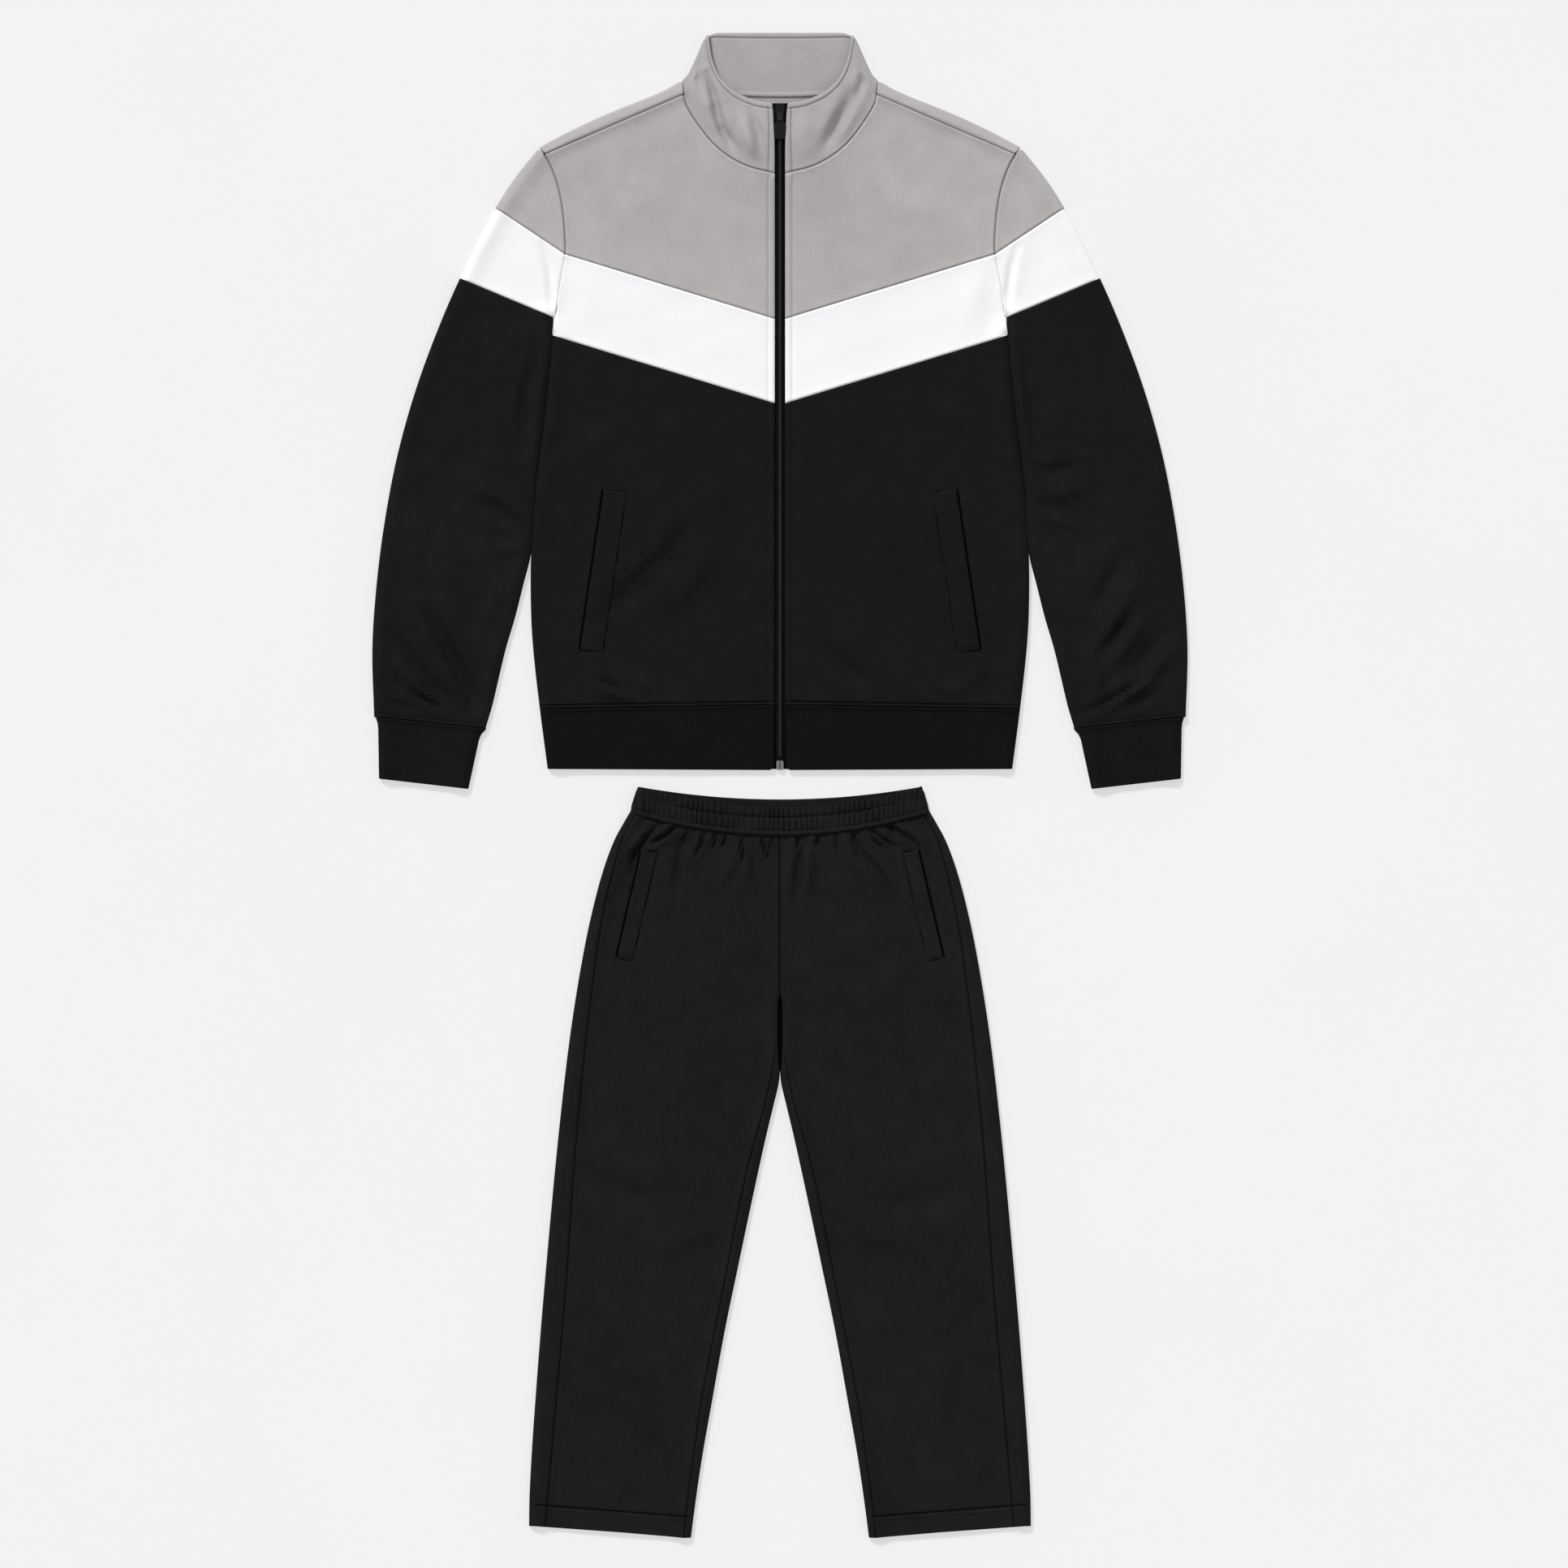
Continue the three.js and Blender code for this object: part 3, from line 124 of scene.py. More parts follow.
# How far the cuff's inner and outer side flare at its seam, over how many mm, and the seam's slope
CUFF_FLARE, FLARE_REACH, CUFF_SLOPE = (-4.6, 2.1), 5.5, 0.1066

# %% Outlines of the trousers
WAIST_HALF, WAIST_TOP_HALF = 153.0, 145.0
FRONT_SEAM, FRONT_TOP = (-50.2, -27.0), (-22.8, -1.5)
BACK_SEAM, BACK_TOP_EDGE = (-42.5, -27.0), (-14.5, -1.5)
LEG_OUTER = [
    (-27.3, 153.3), (-33.6, 157), (-43.6, 162.7), (-53.5, 168.1), (-85, 180.1), (-135, 193.4),
    (-185, 203.4), (-259, 215), (-359, 226.6), (-458.6, 236.1), (-591, 247.3), (-724, 256),
    (-758, 256.6),
]
LEG_INNER = [
    (-218, -0.1), (-290, -0.1), (-305, 1.3), (-326, 6.2), (-359, 14.1), (-425, 28.6), (-492, 42.7),
    (-558, 56.4), (-625, 68.5), (-691, 80.1), (-749, 88.4), (-770, 91),
]
SEAM_OUTER = [
    (-29, 145.5), (-52, 159.8), (-82, 168.9), (-136.5, 181.4), (-192, 189.7), (-261, 197.9),
    (-373, 208.7), (-525, 219.5), (-641, 229.5), (-758, 239.5),
]
SEAM_INNER = [
    (-218, 1), (-240, 2.6), (-277, 5.1), (-331, 16.2), (-384, 31), (-525, 59.7), (-641, 81.8),
    (-683, 87.6), (-737, 95), (-770, 98),
]
LEG_ROWS = np.array([
    (-50.5, -27.1), (-57, -40), (-70, -58), (-90, -85), (-145, -142), (-205, -197), (-214, -205),
    (-218, -210), (-240, -232), (-277, -268), (-304, -298), (-331, -325), (-384, -376),
    (-460, -450), (-560, -548), (-665, -652), (-769.4, -757.4),
])
JACKET_WELT = np.array([(157, 299.2), (180, 301.7), (204, 139), (181.5, 136.6)])
TROUSER_WELT = np.array([(126, -69.2), (141, -66.6), (166.4, -175.5), (151.5, -179.6)])
AROUND = [0, 1, 2, 3, 0]

# %% [markdown]
# A smooth line through a table is a cubic between each two points, with the slope at a point
# taken as the mean of the slopes beside it. The solids use the same rule, so cloth and solid
# share one outline.

# %% Smooth lines through the tables
def along(table, at):
    keys, values = np.array(table, float).T
    if keys[0] > keys[-1]:
        keys, values = keys[::-1], values[::-1]
    at = np.asarray(at, float)
    slopes = np.diff(values) / np.diff(keys)
    ends = np.concatenate([slopes[:1], (slopes[:-1] + slopes[1:]) / 2, slopes[-1:]])
    i = np.clip(np.searchsorted(keys, at, side="right") - 1, 0, len(keys) - 2)
    span = keys[i + 1] - keys[i]
    t = np.clip((at - keys[i]) / span, 0, 1)
    start = (2 * t - 3) * t * t + 1
    return (
        values[i] * start + values[i + 1] * (1 - start)
        + ends[i] * ((t - 2) * t + 1) * t * span + ends[i + 1] * (t - 1) * t * t * span
    )


def lerp(a, b, t):
    return a + (b - a) * t


def smoothstep(d, low, high):
    t = np.clip((d - low) / (high - low), 0, 1)
    return t * t * (3 - 2 * t)


def hump(d, wide, at=0.0):
    """A smooth hill, 1 high at this place and nearly gone at two widths from it."""
    return np.exp(-(((d - at) / wide) ** 2))


def pairs(x, y):
    return np.stack(np.broadcast_arrays(np.asarray(x, float), np.asarray(y, float)), axis=-1)


def curve(x_table, y_table, at):
    """Points on a line that two tables give, one for X and one for Y."""
    return pairs(along(x_table, at), along(y_table, at))


def fine(start, end):
    """Values from start to end, a little less than nine millimetres apart."""
    return np.linspace(start, end, int(abs(end - start) / 9.0) + 2)


def at_height(table, y, shift=0.0):
    """Points on the fold or seam that a table gives as X at a height Y."""
    return pairs(along(table, y) + shift, y)


def upright(table, start, end):
    return at_height(table, fine(start, end))


def cuff_side(i, v):
    """A side of the cuff, which widens into the sleeve over its first few millimetres."""
    line = lerp(np.array(CUFF_TOP[i], float), np.array(CUFF_END[i], float), v[:, None])
    flare = CUFF_FLARE[i] * hump(v * CUFF_WIDE, FLARE_REACH)
    return line + flare[:, None] * np.array([1.0, CUFF_SLOPE])


# %% The folds of both garments
shoulder_x = fine(103, 246)
SHOULDER_FOLD = pairs(shoulder_x, along(SHOULDER, shoulder_x))
SLEEVE_FOLD, HEM_FOLDS = upright(SLEEVE_OUTER, SHOULDER_POINT, 72), [upright(BODY_SIDE, 460, 16.5)]
BODY_FOLDS = [SHOULDER_FOLD, SLEEVE_FOLD, *HEM_FOLDS]
SLEEVE_FOLDS = [SHOULDER_FOLD, SLEEVE_FOLD, upright(SLEEVE_INNER, 478.5, 57.8)]
CUFF_FOLDS = [cuff_side(i, np.linspace(0, 1, 65)) for i in (0, 1)]
LEG_FOLDS = [upright(LEG_OUTER, -27.3, -758), upright(LEG_INNER, CROTCH, -770)]
WAIST_FOLDS = [np.array([(WAIST_HALF, FRONT_SEAM[1]), (WAIST_TOP_HALF, FRONT_TOP[1])])]
FOLD_Z = ROLL + LAYER_GAP / 2


def near_line(x, y, line):
    """Distance to a line of points, and how far along it the nearest point is, from 0 to 1."""
    line = np.asarray(line, float)
    nearest, part = np.full(np.shape(x), np.inf), np.zeros(np.shape(x))
    lengths = np.hypot(*np.diff(line, axis=0).T)
    done = 0.0
    for a, b, length in zip(line[:-1], line[1:], lengths):
        dx, dy = (b - a) / length
        t = np.clip((x - a[0]) * dx + (y - a[1]) * dy, 0, length)
        d = np.hypot(x - a[0] - t * dx, y - a[1] - t * dy)
        part = np.where(d < nearest, (done + t) / lengths.sum(), part)
        nearest = np.minimum(nearest, d)
        done += length
    return nearest, part


def to_folds(x, y, folds):
    return np.min([near_line(x, y, line)[0] for line in folds], axis=0)


# %% [markdown]
# Cloth that lies flat still has creases. Each one here is a line with a width and a height, placed
# where the real suit has it: a positive height is a soft ridge, a negative one a trough
# between two low shoulders. They fade out at their ends.

# %% Creases of the jacket, X, Y, then width and height
JACKET_CREASES = [
    # front body, left then right of the zip
    ([(-84, 272), (-112, 236), (-150, 198), (-183, 172)], 15, -1.5),
    ([(-60, 250), (-88, 214), (-118, 184)], 17, 1.1),
    ([(-192, 112), (-176, 104), (-160, 99)], 5, -1.0),
    ([(-188, 99), (-168, 92), (-150, 90)], 4.5, 0.9),
    ([(-150, 112), (-128, 97)], 6, 0.7),
    ([(-226, 175), (-214, 130), (-206, 96)], 10, 0.8),
    ([(-215, 330), (-185, 352), (-140, 366)], 17, 0.6),
    ([(-30, 330), (-60, 300), (-96, 262)], 19, 0.6),
    ([(46, 150), (64, 122), (92, 100)], 12, -1.2),
    ([(28, 190), (50, 158), (74, 134)], 14, 0.7),
    ([(128, 128), (142, 108), (166, 92)], 7, -1.0),
    ([(148, 104), (170, 96), (190, 94)], 4.5, 0.9),
    ([(212, 122), (196, 106), (178, 98)], 7, 0.8),
    ([(60, 300), (92, 266), (120, 236)], 18, 0.6),
    ([(214, 356), (180, 380), (140, 392)], 17, 0.6),
    ([(215, 240), (222, 190), (228, 150)], 9, 0.6),
    # left sleeve, from the elbow to the cuff
    ([(-300, 290), (-282, 276), (-262, 262)], 8, -1.4),
    ([(-330, 318), (-304, 302), (-272, 290)], 11, 1.0),
    ([(-262, 246), (-280, 240), (-300, 246)], 7, 0.9),
    ([(-362, 182), (-345, 150), (-327, 117), (-308, 82)], 8, -2.0),
    ([(-374, 176), (-354, 136), (-336, 104), (-316, 78)], 7, 1.5),
    ([(-348, 186), (-330, 152), (-314, 124)], 8, 1.2),
    ([(-404, 158), (-384, 140), (-362, 110), (-340, 84)], 7, -1.7),
    ([(-412, 140), (-390, 122), (-366, 96), (-350, 80)], 6, 1.3),
    ([(-376, 96), (-362, 87), (-344, 76)], 4.5, -1.4),
    ([(-394, 112), (-388, 98)], 5, -0.8),
    ([(-402, 96), (-388, 88), (-374, 84)], 4, 1.1),
    ([(-330, 96), (-318, 84), (-312, 76)], 4, -1.1),
    ([(-330, 240), (-318, 216), (-300, 190)], 12, -1.0),
    ([(-284, 214), (-296, 178), (-304, 150)], 11, 0.8),
    ([(-398, 330), (-376, 300), (-370, 262)], 16, 0.6),
    ([(-246, 452), (-258, 400), (-262, 340)], 10, -1.5),
    ([(-250, 480), (-276, 446), (-300, 420)], 13, 0.7),
    # right sleeve
    ([(252, 332), (272, 318), (302, 326)], 9, -1.4),
    ([(256, 300), (286, 296), (322, 312)], 10, 1.0),
    ([(262, 276), (288, 270), (314, 262)], 9, 0.8),
    ([(354, 234), (336, 206), (318, 176)], 11, -1.2),
    ([(372, 216), (352, 188), (336, 158)], 11, 0.9),
    ([(360, 176), (344, 152), (328, 132)], 8, -1.8),
    ([(374, 170), (352, 140), (334, 118)], 8, 1.3),
    ([(394, 158), (376, 136), (358, 116)], 8, -0.9),
    ([(404, 140), (384, 116), (364, 96), (340, 80)], 6, 1.3),
    ([(314, 136), (326, 112), (320, 90)], 7, 1.0),
    ([(376, 108), (352, 95), (328, 82), (306, 72)], 5.5, -1.0),
    ([(392, 100), (378, 90), (362, 81)], 4.5, -0.5),
    ([(384, 108), (366, 97), (346, 86)], 4.5, 0.8),
    ([(396, 320), (376, 292), (366, 250)], 16, 0.6),
    ([(246, 452), (258, 402), (262, 342)], 10, -1.5),
    ([(252, 478), (280, 448), (304, 414)], 13, 0.7),
    # sleeve bands beside the armholes, shoulders and yokes
    ([(-243, 552), (-236.5, 529), (-233, 501), (-234, 480)], 5, -1.2),
    ([(243, 552), (236.5, 529), (233, 501), (234, 480)], 5, -1.2),
    ([(-262, 600), (-252, 560), (-246, 520)], 14, 0.35),
    ([(262, 604), (252, 564), (246, 524)], 14, 0.35),
    ([(-188, 560), (-150, 590), (-96, 606)], 20, 0.7),
    ([(190, 556), (148, 588), (92, 604)], 20, 0.7),
    ([(-214, 540), (-196, 500), (-190, 462)], 15, 0.6),
    ([(214, 540), (198, 500), (192, 462)], 15, 0.6),
    # collar front
    ([(-75, 726), (-69, 708), (-62, 684)], 6, -1.9),
    ([(-66, 690), (-58, 668), (-46, 646)], 7, -2.2),
    ([(-88, 744), (-85, 726), (-76, 700)], 6, -0.9),
    ([(74, 706), (60, 678), (46, 650)], 9, -1.8),
    ([(87, 748), (87, 728), (79, 702)], 6, -1.0),
    ([(-40, 682), (-30, 656), (-24, 636)], 7, 1.4),
    ([(-30, 690), (-22, 668), (-20, 650)], 6, -0.9),
    ([(26, 692), (24, 664), (28, 636)], 12, 0.7),
]

# %% Creases of the trousers
TROUSER_CREASES = [
    # short gathers under the waistband
    ([(-110, -42), (-111, -54)], 2.6, -1.3), ([(-97, -46), (-98, -57)], 2.6, -1.4),
    ([(-78, -48), (-80, -60), (-86, -72)], 3.0, -1.5), ([(-66, -50), (-67, -64)], 2.8, -1.5),
    ([(-56, -50), (-57, -63)], 2.8, -1.4), ([(-39, -52), (-38, -66), (-36, -84)], 3.4, -1.6),
    ([(-18, -53), (-16, -64), (-11, -76)], 3.0, -1.5), ([(-8, -53), (-8, -66)], 2.6, -1.2),
    ([(19, -52), (17, -66)], 2.8, -1.4), ([(39, -51), (37, -64)], 2.8, -1.4),
    ([(57, -51), (59, -64)], 2.8, -1.4), ([(75, -49), (76, -60)], 2.8, -1.3),
    ([(93, -47), (98, -58), (108, -66)], 3.0, -1.5), ([(112, -42), (116, -54)], 2.8, -1.3),
    # longer folds
    ([(-121, -38), (-136, -52), (-148, -68), (-152, -92)], 5.0, -1.8),
    ([(-105, -42), (-122, -54), (-136, -62)], 4.0, -1.5),
    ([(-90, -50), (-100, -64), (-104, -88), (-106, -112)], 6.5, -1.3),
    ([(-37, -56), (-34, -76), (-36, -108)], 7, 1.0),
    ([(-48, -56), (-50, -80), (-60, -104)], 6, 0.9),
    ([(24, -58), (20, -84), (16, -118)], 6.5, -1.7),
    ([(30, -56), (30, -86), (28, -112)], 6, 1.1),
    ([(77, -48), (81, -68), (102, -92), (122, -124)], 6, -1.8),
    ([(68, -50), (70, -72), (84, -98)], 6, 1.0),
    ([(92, -44), (108, -58), (120, -64)], 3.6, -1.4),
    ([(108, -40), (126, -50), (141, -64)], 3.8, -1.7),
    ([(128, -40), (142, -52), (150, -70)], 4.5, 1.2),
    ([(-128, -40), (-142, -54), (-156, -70)], 4.5, 1.2),
    ([(128, -150), (118, -190), (100, -226)], 16, 0.7),
    ([(-126, -160), (-112, -204), (-92, -236)], 16, 0.7),
    # crotch, knees and hems
    ([(-5, -204), (-18, -222), (-40, -238)], 10, -0.35),
    ([(6, -206), (22, -226), (46, -240)], 10, -0.35),
    ([(-4, -190), (-22, -196), (-46, -200)], 12, 0.25),
    ([(5, -188), (26, -194), (52, -196)], 12, 0.25),
    ([(-14, -262), (-34, -272), (-62, -276)], 14, 0.3),
    ([(14, -258), (38, -270), (66, -276)], 14, 0.3),
    ([(-196, -400), (-160, -420), (-118, -424)], 18, -1.0),
    ([(190, -404), (150, -426), (112, -428)], 18, -1.0),
    ([(-60, -440), (-92, -462), (-132, -470)], 16, 0.9),
    ([(64, -436), (96, -460), (136, -470)], 16, 0.9),
    ([(-170, -560), (-160, -620), (-158, -690)], 24, 0.9),
    ([(166, -566), (160, -624), (160, -694)], 24, 0.9),
    ([(-226, -700), (-196, -716), (-160, -720)], 12, 0.2),
    ([(224, -696), (190, -714), (156, -718)], 12, 0.2),
    ([(-110, -700), (-134, -722), (-160, -734)], 12, -0.15),
    ([(112, -704), (138, -726), (164, -734)], 12, -0.15),
]
CREASES = [
    (np.array(line, float), 0.85 * width, height)
    for line, width, height in JACKET_CREASES + TROUSER_CREASES
]
# Widths that a crease reaches to each side, mm of air under all of the cloth, the height up to which
# the creases are deepened by the first strength and above which by the second
REACH, AIR, LOW_PART, STRENGTHS = 4.5, 2.4, 470, (1.7, 1.1)


def creased(x, y):
    """Height that the creases and the cloth's slow waves add, at true X and Y."""
    total = AIR + 0.35 * np.sin(x / 23 + y / 61) * np.sin(y / 27 - x / 83)
    total = total + 0.16 * np.sin(x / 9.1 - y / 13.7) * np.sin(y / 11.3 + x / 17.9)
    for line, width, height in CREASES:
        low, high = line.min(0) - REACH * width, line.max(0) + REACH * width
        inside = (x > low[0]) & (x < high[0]) & (y > low[1]) & (y < high[1])
        if not inside.any():
            continue
        d, part = near_line(x[inside], y[inside], line)
        u = d / width
        strength = STRENGTHS[0] if line[:, 1].max() < LOW_PART else STRENGTHS[1]
        fade = (0.25 + 0.75 * np.sin(np.pi * np.clip(part, 0, 1))) * abs(height) * strength
        if height > 0:
            total[inside] += 2.4 * fade * hump(u, 1)
        else:
            total[inside] += 2.6 * fade * (0.8 * hump(u, 2.2) - 1.5 * hump(u, 1))
    return total


print("creases placed by hand:", len(CREASES))

# %% [markdown]
# A seam shows as a low ridge, where the seam allowance lies under the cloth, with a fine valley
# along its middle. Topstitching presses a narrow channel. Both are worked out from the distance
# to the seam's line, like the folds, so that two panels meet at one height.

# %% Seams and topstitching
FRONT_EDGE = 5.3
NECK_SEAM = curve(NECK_X, NECK_Y, np.linspace(0, 6, 31))
waist_x = np.linspace(0, WAIST_HALF, 24)
WAIST_SEAM = pairs(waist_x, lerp(*FRONT_SEAM, (waist_x / WAIST_HALF) ** 2))
# Width and height of a seam's ridge, then width and depth of its valley
CHEVRON, RIB_SEAM, LEG_SEAM = (5, 0.6, 1.0, 1.3), (2.9, 2.8, 0.9, 3.7), (5, 0.8, 1.2, 2.0)
SEAMS = [
    ([(FRONT_EDGE, GREY_ZIP), (219.6, GREY_SIDE), (291, 590.5)], *CHEVRON),
    ([(FRONT_EDGE, WHITE_ZIP), (232.6, WHITE_SIDE)], *CHEVRON),
    ([(232, 478.5), (327.2, 518.3)], *CHEVRON),
    (upright(ARMHOLE, 645, GREY_SIDE), 5, 0.8, 1.1, 2.4),
    (upright(ARMHOLE, GREY_SIDE, 462), 5, 0.3, 1.0, 0.7),
    ([SEAM_NECK, SEAM_ARM], 4, 0.7, 1.0, 1.8),
    (NECK_SEAM, 4, 0.8, 1.2, 2.2),
    ([(FRONT_EDGE, 84), (FRONT_EDGE, 620)], 5, 0.9, 1.2, 1.3),
    ([(FRONT_EDGE, HEM_SEAM_ZIP), (245.7, HEM_SEAM_SIDE)], *RIB_SEAM),
    ([(300, 57.9), (411, 69.7)], *RIB_SEAM),
    (upright(SEAM_OUTER, -29, -758), *LEG_SEAM),
    (upright(SEAM_INNER, -272, -770), *LEG_SEAM),
    ([(0, -50), (0, -217)], 4, 0.8, 1.3, 2.3),
    (WAIST_SEAM, 3, 1.0, 1.2, 2.0),
    ([(93.5, -751.0), (252, -738.6)], 1.8, 0.8, 1.0, 0.0),
]
# Width and depth of each channel
CHANNELS = [
    ([(ZIP_STITCH, 86), (ZIP_STITCH, 618)], 1.0, 0.8),
    ([(FRONT_EDGE, 85.2), (245.7, 81.1)], 1.2, 2.2),
    ([(305, 61.7), (411, 73.0)], 1.2, 2.2),
    (JACKET_WELT[AROUND], 1.3, 1.7),
    (TROUSER_WELT[AROUND], 1.3, 1.7),
    ([(93.5, -748.2), (252, -735.8)], 1.1, 1.9),
]


def seamed(x, y, channels=True):
    """Height that the seams and the stitched channels add, at X and Y of the right half."""
    total = np.zeros(np.shape(x))
    for line, wide, rise, narrow, depth in SEAMS:
        d = near_line(x, y, line)[0]
        total += rise * hump(d, wide) - depth * hump(d, narrow)
    for line, width, depth in CHANNELS if channels else []:
        total -= depth * hump(near_line(x, y, line)[0], width)
    return total


# %% [markdown]
# Heights. At a fold the cloth turns in a small roll, then the upper layer settles on the lower
# one. The front is lifted round the neck, which stands open.

# %% Heights of the two layers
NECK_LIFT, LOWEST = 9.0, -0.6
# Behind X, Y and Z a point has three columns for wall(): how far the face rises above the grid,
# whether the cloth's edge stands plumb there, and the share of the thickness that is left
RISE, PLUMB, SHARE = 3, 4, 5


def roll_height(d, radius=ROLL):
    return np.sqrt(np.maximum(radius**2 - np.maximum(radius - d, 0) ** 2, 0))


def zip_half(y):
    """Half the width of the opening over the zip, which flares at the collar's top."""
    return ZIP_HALF + 3.0 * np.clip((y - NECK) / (MOUTH - NECK), 0, 1) ** 4


def neck_lift(x, y):
    """How far the open neck lifts the front: most beside the zip, just above the neck seam."""
    return NECK_LIFT * np.exp(-((x / 85) ** 2) - ((y - 650) / 70) ** 2) * (y > 0)


def upper(xy, side, folds, flat=FLAT_TOP, rise=0.0, channels=True):
    """Points of the upper layer over a plan of the right half, which side -1 mirrors."""
    x, y = xy[..., 0], xy[..., 1]
    d = to_folds(x, y, folds)
    z = lerp(ROLL + LAYER_GAP + roll_height(d), flat, smoothstep(d, ROLL, ROLL + SETTLE))
    z = z + neck_lift(x, y)
    relief = creased(side * x, y) + seamed(x, y, channels)
    settled = smoothstep(d, 1, 9)
    z = z + np.maximum(relief * settled, LOWEST * (1 + settled) / 2)
    return packed(xy, z, side, rise)


def lower(xy, side, folds):
    """Points of the lower layer, which lies on the surface and turns up at the folds."""
    d = to_folds(np.abs(xy[..., 0]), xy[..., 1], folds)
    return packed(xy, ROLL - roll_height(d), side)


def fold(xy, side, share=1.0):
    """Points of a fold's outermost line."""
    points = packed(xy, FOLD_Z, side)
    points[..., SHARE] = share
    return points


def packed(xy, z, side=1, rise=0.0):
    points = np.zeros((*np.broadcast_shapes(xy.shape[:-1], np.shape(z)), 6))
    points[..., 0], points[..., 1], points[..., 2] = xy[..., 0] * side, xy[..., 1], z
    points[..., RISE], points[..., SHARE] = rise, 1
    return points


# %% [markdown]
# A panel is a grid of rows. The rows run from one edge to the other, with their points close
# together beside a seam or on a roll, where the cloth turns, and further apart between.

# %% Rows of points
ROLL_PART = 1 - np.cos(np.radians([18, 36, 54, 72, 90]))
ON_ROLL = ROLL * ROLL_PART
COLUMNS = 58
AT_FOLD = np.concatenate([ON_ROLL, [4.2, 6, 8.5, 11.5, 15, 19, 25]])
AT_SEAM = np.array([SEAM_SIDE, 0.7, 1.3, 2, 3, 4.4, 6.5])
AT_ZIP = np.array([SEAM_SIDE, 0.35, 0.8, 1.5, 2.6, 4.2, 5.6, 6.4, 7.0, 7.6, 8.4, 10])


def stations(length, middle, head, tail):
    """Distances along rows of these lengths, close together at both ends."""
    length = np.asarray(length, float)[:, None]
    scale = np.minimum(1, length / (1.6 * (head[-1] + tail[-1])))
    start, end = head[None] * scale, length - tail[::-1][None] * scale
    inner = lerp(start[:, -1:], end[:, :1], np.linspace(0, 1, middle + 1)[1:-1][None])
    return np.concatenate([start, inner, end], axis=1)


def rows_between(a, b, middle, head, tail):
    """A grid of plan points: row i runs straight from a[i] to b[i]."""
    a, b = np.atleast_2d(a), np.atleast_2d(b)
    length = np.hypot(*(b - a).T)
    far = stations(length, middle, head, tail)
    return a[:, None] + (b - a)[:, None] * (far / length[:, None])[..., None]


def levels(length, middle, head, tail):
    """Places of rows from 0 to 1, close together at both ends."""
    return stations([length], middle, head, tail)[0] / length


def shares(length, step=3.4, head=AT_SEAM, tail=AT_SEAM):
    """Places of a panel's rows, with about this step in mm between them in its middle."""
    return levels(length, max(2, int((length - head[-1] - tail[-1]) / step)), head, tail)


# %% [markdown]
# Cloth needs a thickness. wall() joins grids that share a border, works out a normal at every
# point, and puts the face of the cloth on the grid and its back one thickness below. Free edges
# get a rim, so that every piece is a closed shell without stray faces.

# %% Walls of cloth from grids
def directed_edges(faces):
    return np.concatenate([faces[:, [0, 1]], faces[:, [1, 2]], faces[:, [2, 0]]])


def grid_faces(grids):
    faces, start = [], 0
    for grid in grids:
        rows, columns = grid.shape[:2]
        at = np.arange(rows * columns).reshape(rows, columns) + start
        a, b, d, e = at[:-1, :-1], at[:-1, 1:], at[1:, 1:], at[1:, :-1]
        faces += [np.stack([a, b, d], -1).reshape(-1, 3), np.stack([a, d, e], -1).reshape(-1, 3)]
        start += rows * columns
    return np.concatenate(faces)


def wall(grids, low=-CLOTH, high=0.0, facing="up"):
    """Points in mm and triangles of the shell, and the area of its face."""
    # points that agree to a thousandth of a millimetre become one, which joins the grids
    flat = np.concatenate([grid.reshape(-1, 6) for grid in grids])
    keys = np.round(flat[:, :3] * 1000).astype(np.int64)
    _, first, inverse = np.unique(keys, axis=0, return_index=True, return_inverse=True)
    points, faces = flat[first], inverse.reshape(-1)[grid_faces(grids)]
    faces = faces[np.all(faces != np.roll(faces, -1, axis=1), axis=1)]
    # normals from the faces, pointing out by the highest or the lowest level face
    xyz = points[:, :3]
    cross = np.cross(xyz[faces[:, 1]] - xyz[faces[:, 0]], xyz[faces[:, 2]] - xyz[faces[:, 0]])
    size = np.linalg.norm(cross, axis=1)
    normals = np.zeros_like(xyz)
    for corner in range(3):
        np.add.at(normals, faces[:, corner], cross)
    level = np.where(np.abs(cross[:, 2]) > 0.8 * size, xyz[faces, 2].sum(1), np.nan)
    found = np.nanargmax(level) if facing == "up" else np.nanargmin(level)
    turn = np.sign(cross[found, 2]) * (1 if facing == "up" else -1)
    # the cloth's edge stands level at a fold and upright at a plumb seam
    length = np.linalg.norm(normals, axis=1)
    at_fold = (np.abs(xyz[:, 2] - FOLD_Z) <= 0.02) & (np.abs(normals[:, 2]) < 0.75 * length)
    normals[at_fold, 2] = 0
    normals[points[:, PLUMB] > 0.5, :2] = 0
    normals *= turn / np.maximum(np.linalg.norm(normals, axis=1), 1e-12)[:, None]
    ring = faces if turn > 0 else faces[:, [0, 2, 1]]
    outer = xyz + normals * (high + points[:, RISE])[:, None]
    inner = xyz + normals * (low * points[:, SHARE])[:, None]
    # an edge with a face on one side only is a free edge, and the rim closes it
    count = len(points)
    edges = directed_edges(ring)
    names = edges[:, 0].astype(np.int64) * count + edges[:, 1]
    back = edges[:, 1].astype(np.int64) * count + edges[:, 0]
    a, b = edges[~np.isin(back, names)].T
    rim = np.concatenate([np.stack([b, a, a + count], -1), np.stack([b, a + count, b + count], -1)])
    shell = np.concatenate([ring, ring[:, ::-1] + count, rim])
    return np.concatenate([outer, inner]), shell, size.sum() / 2


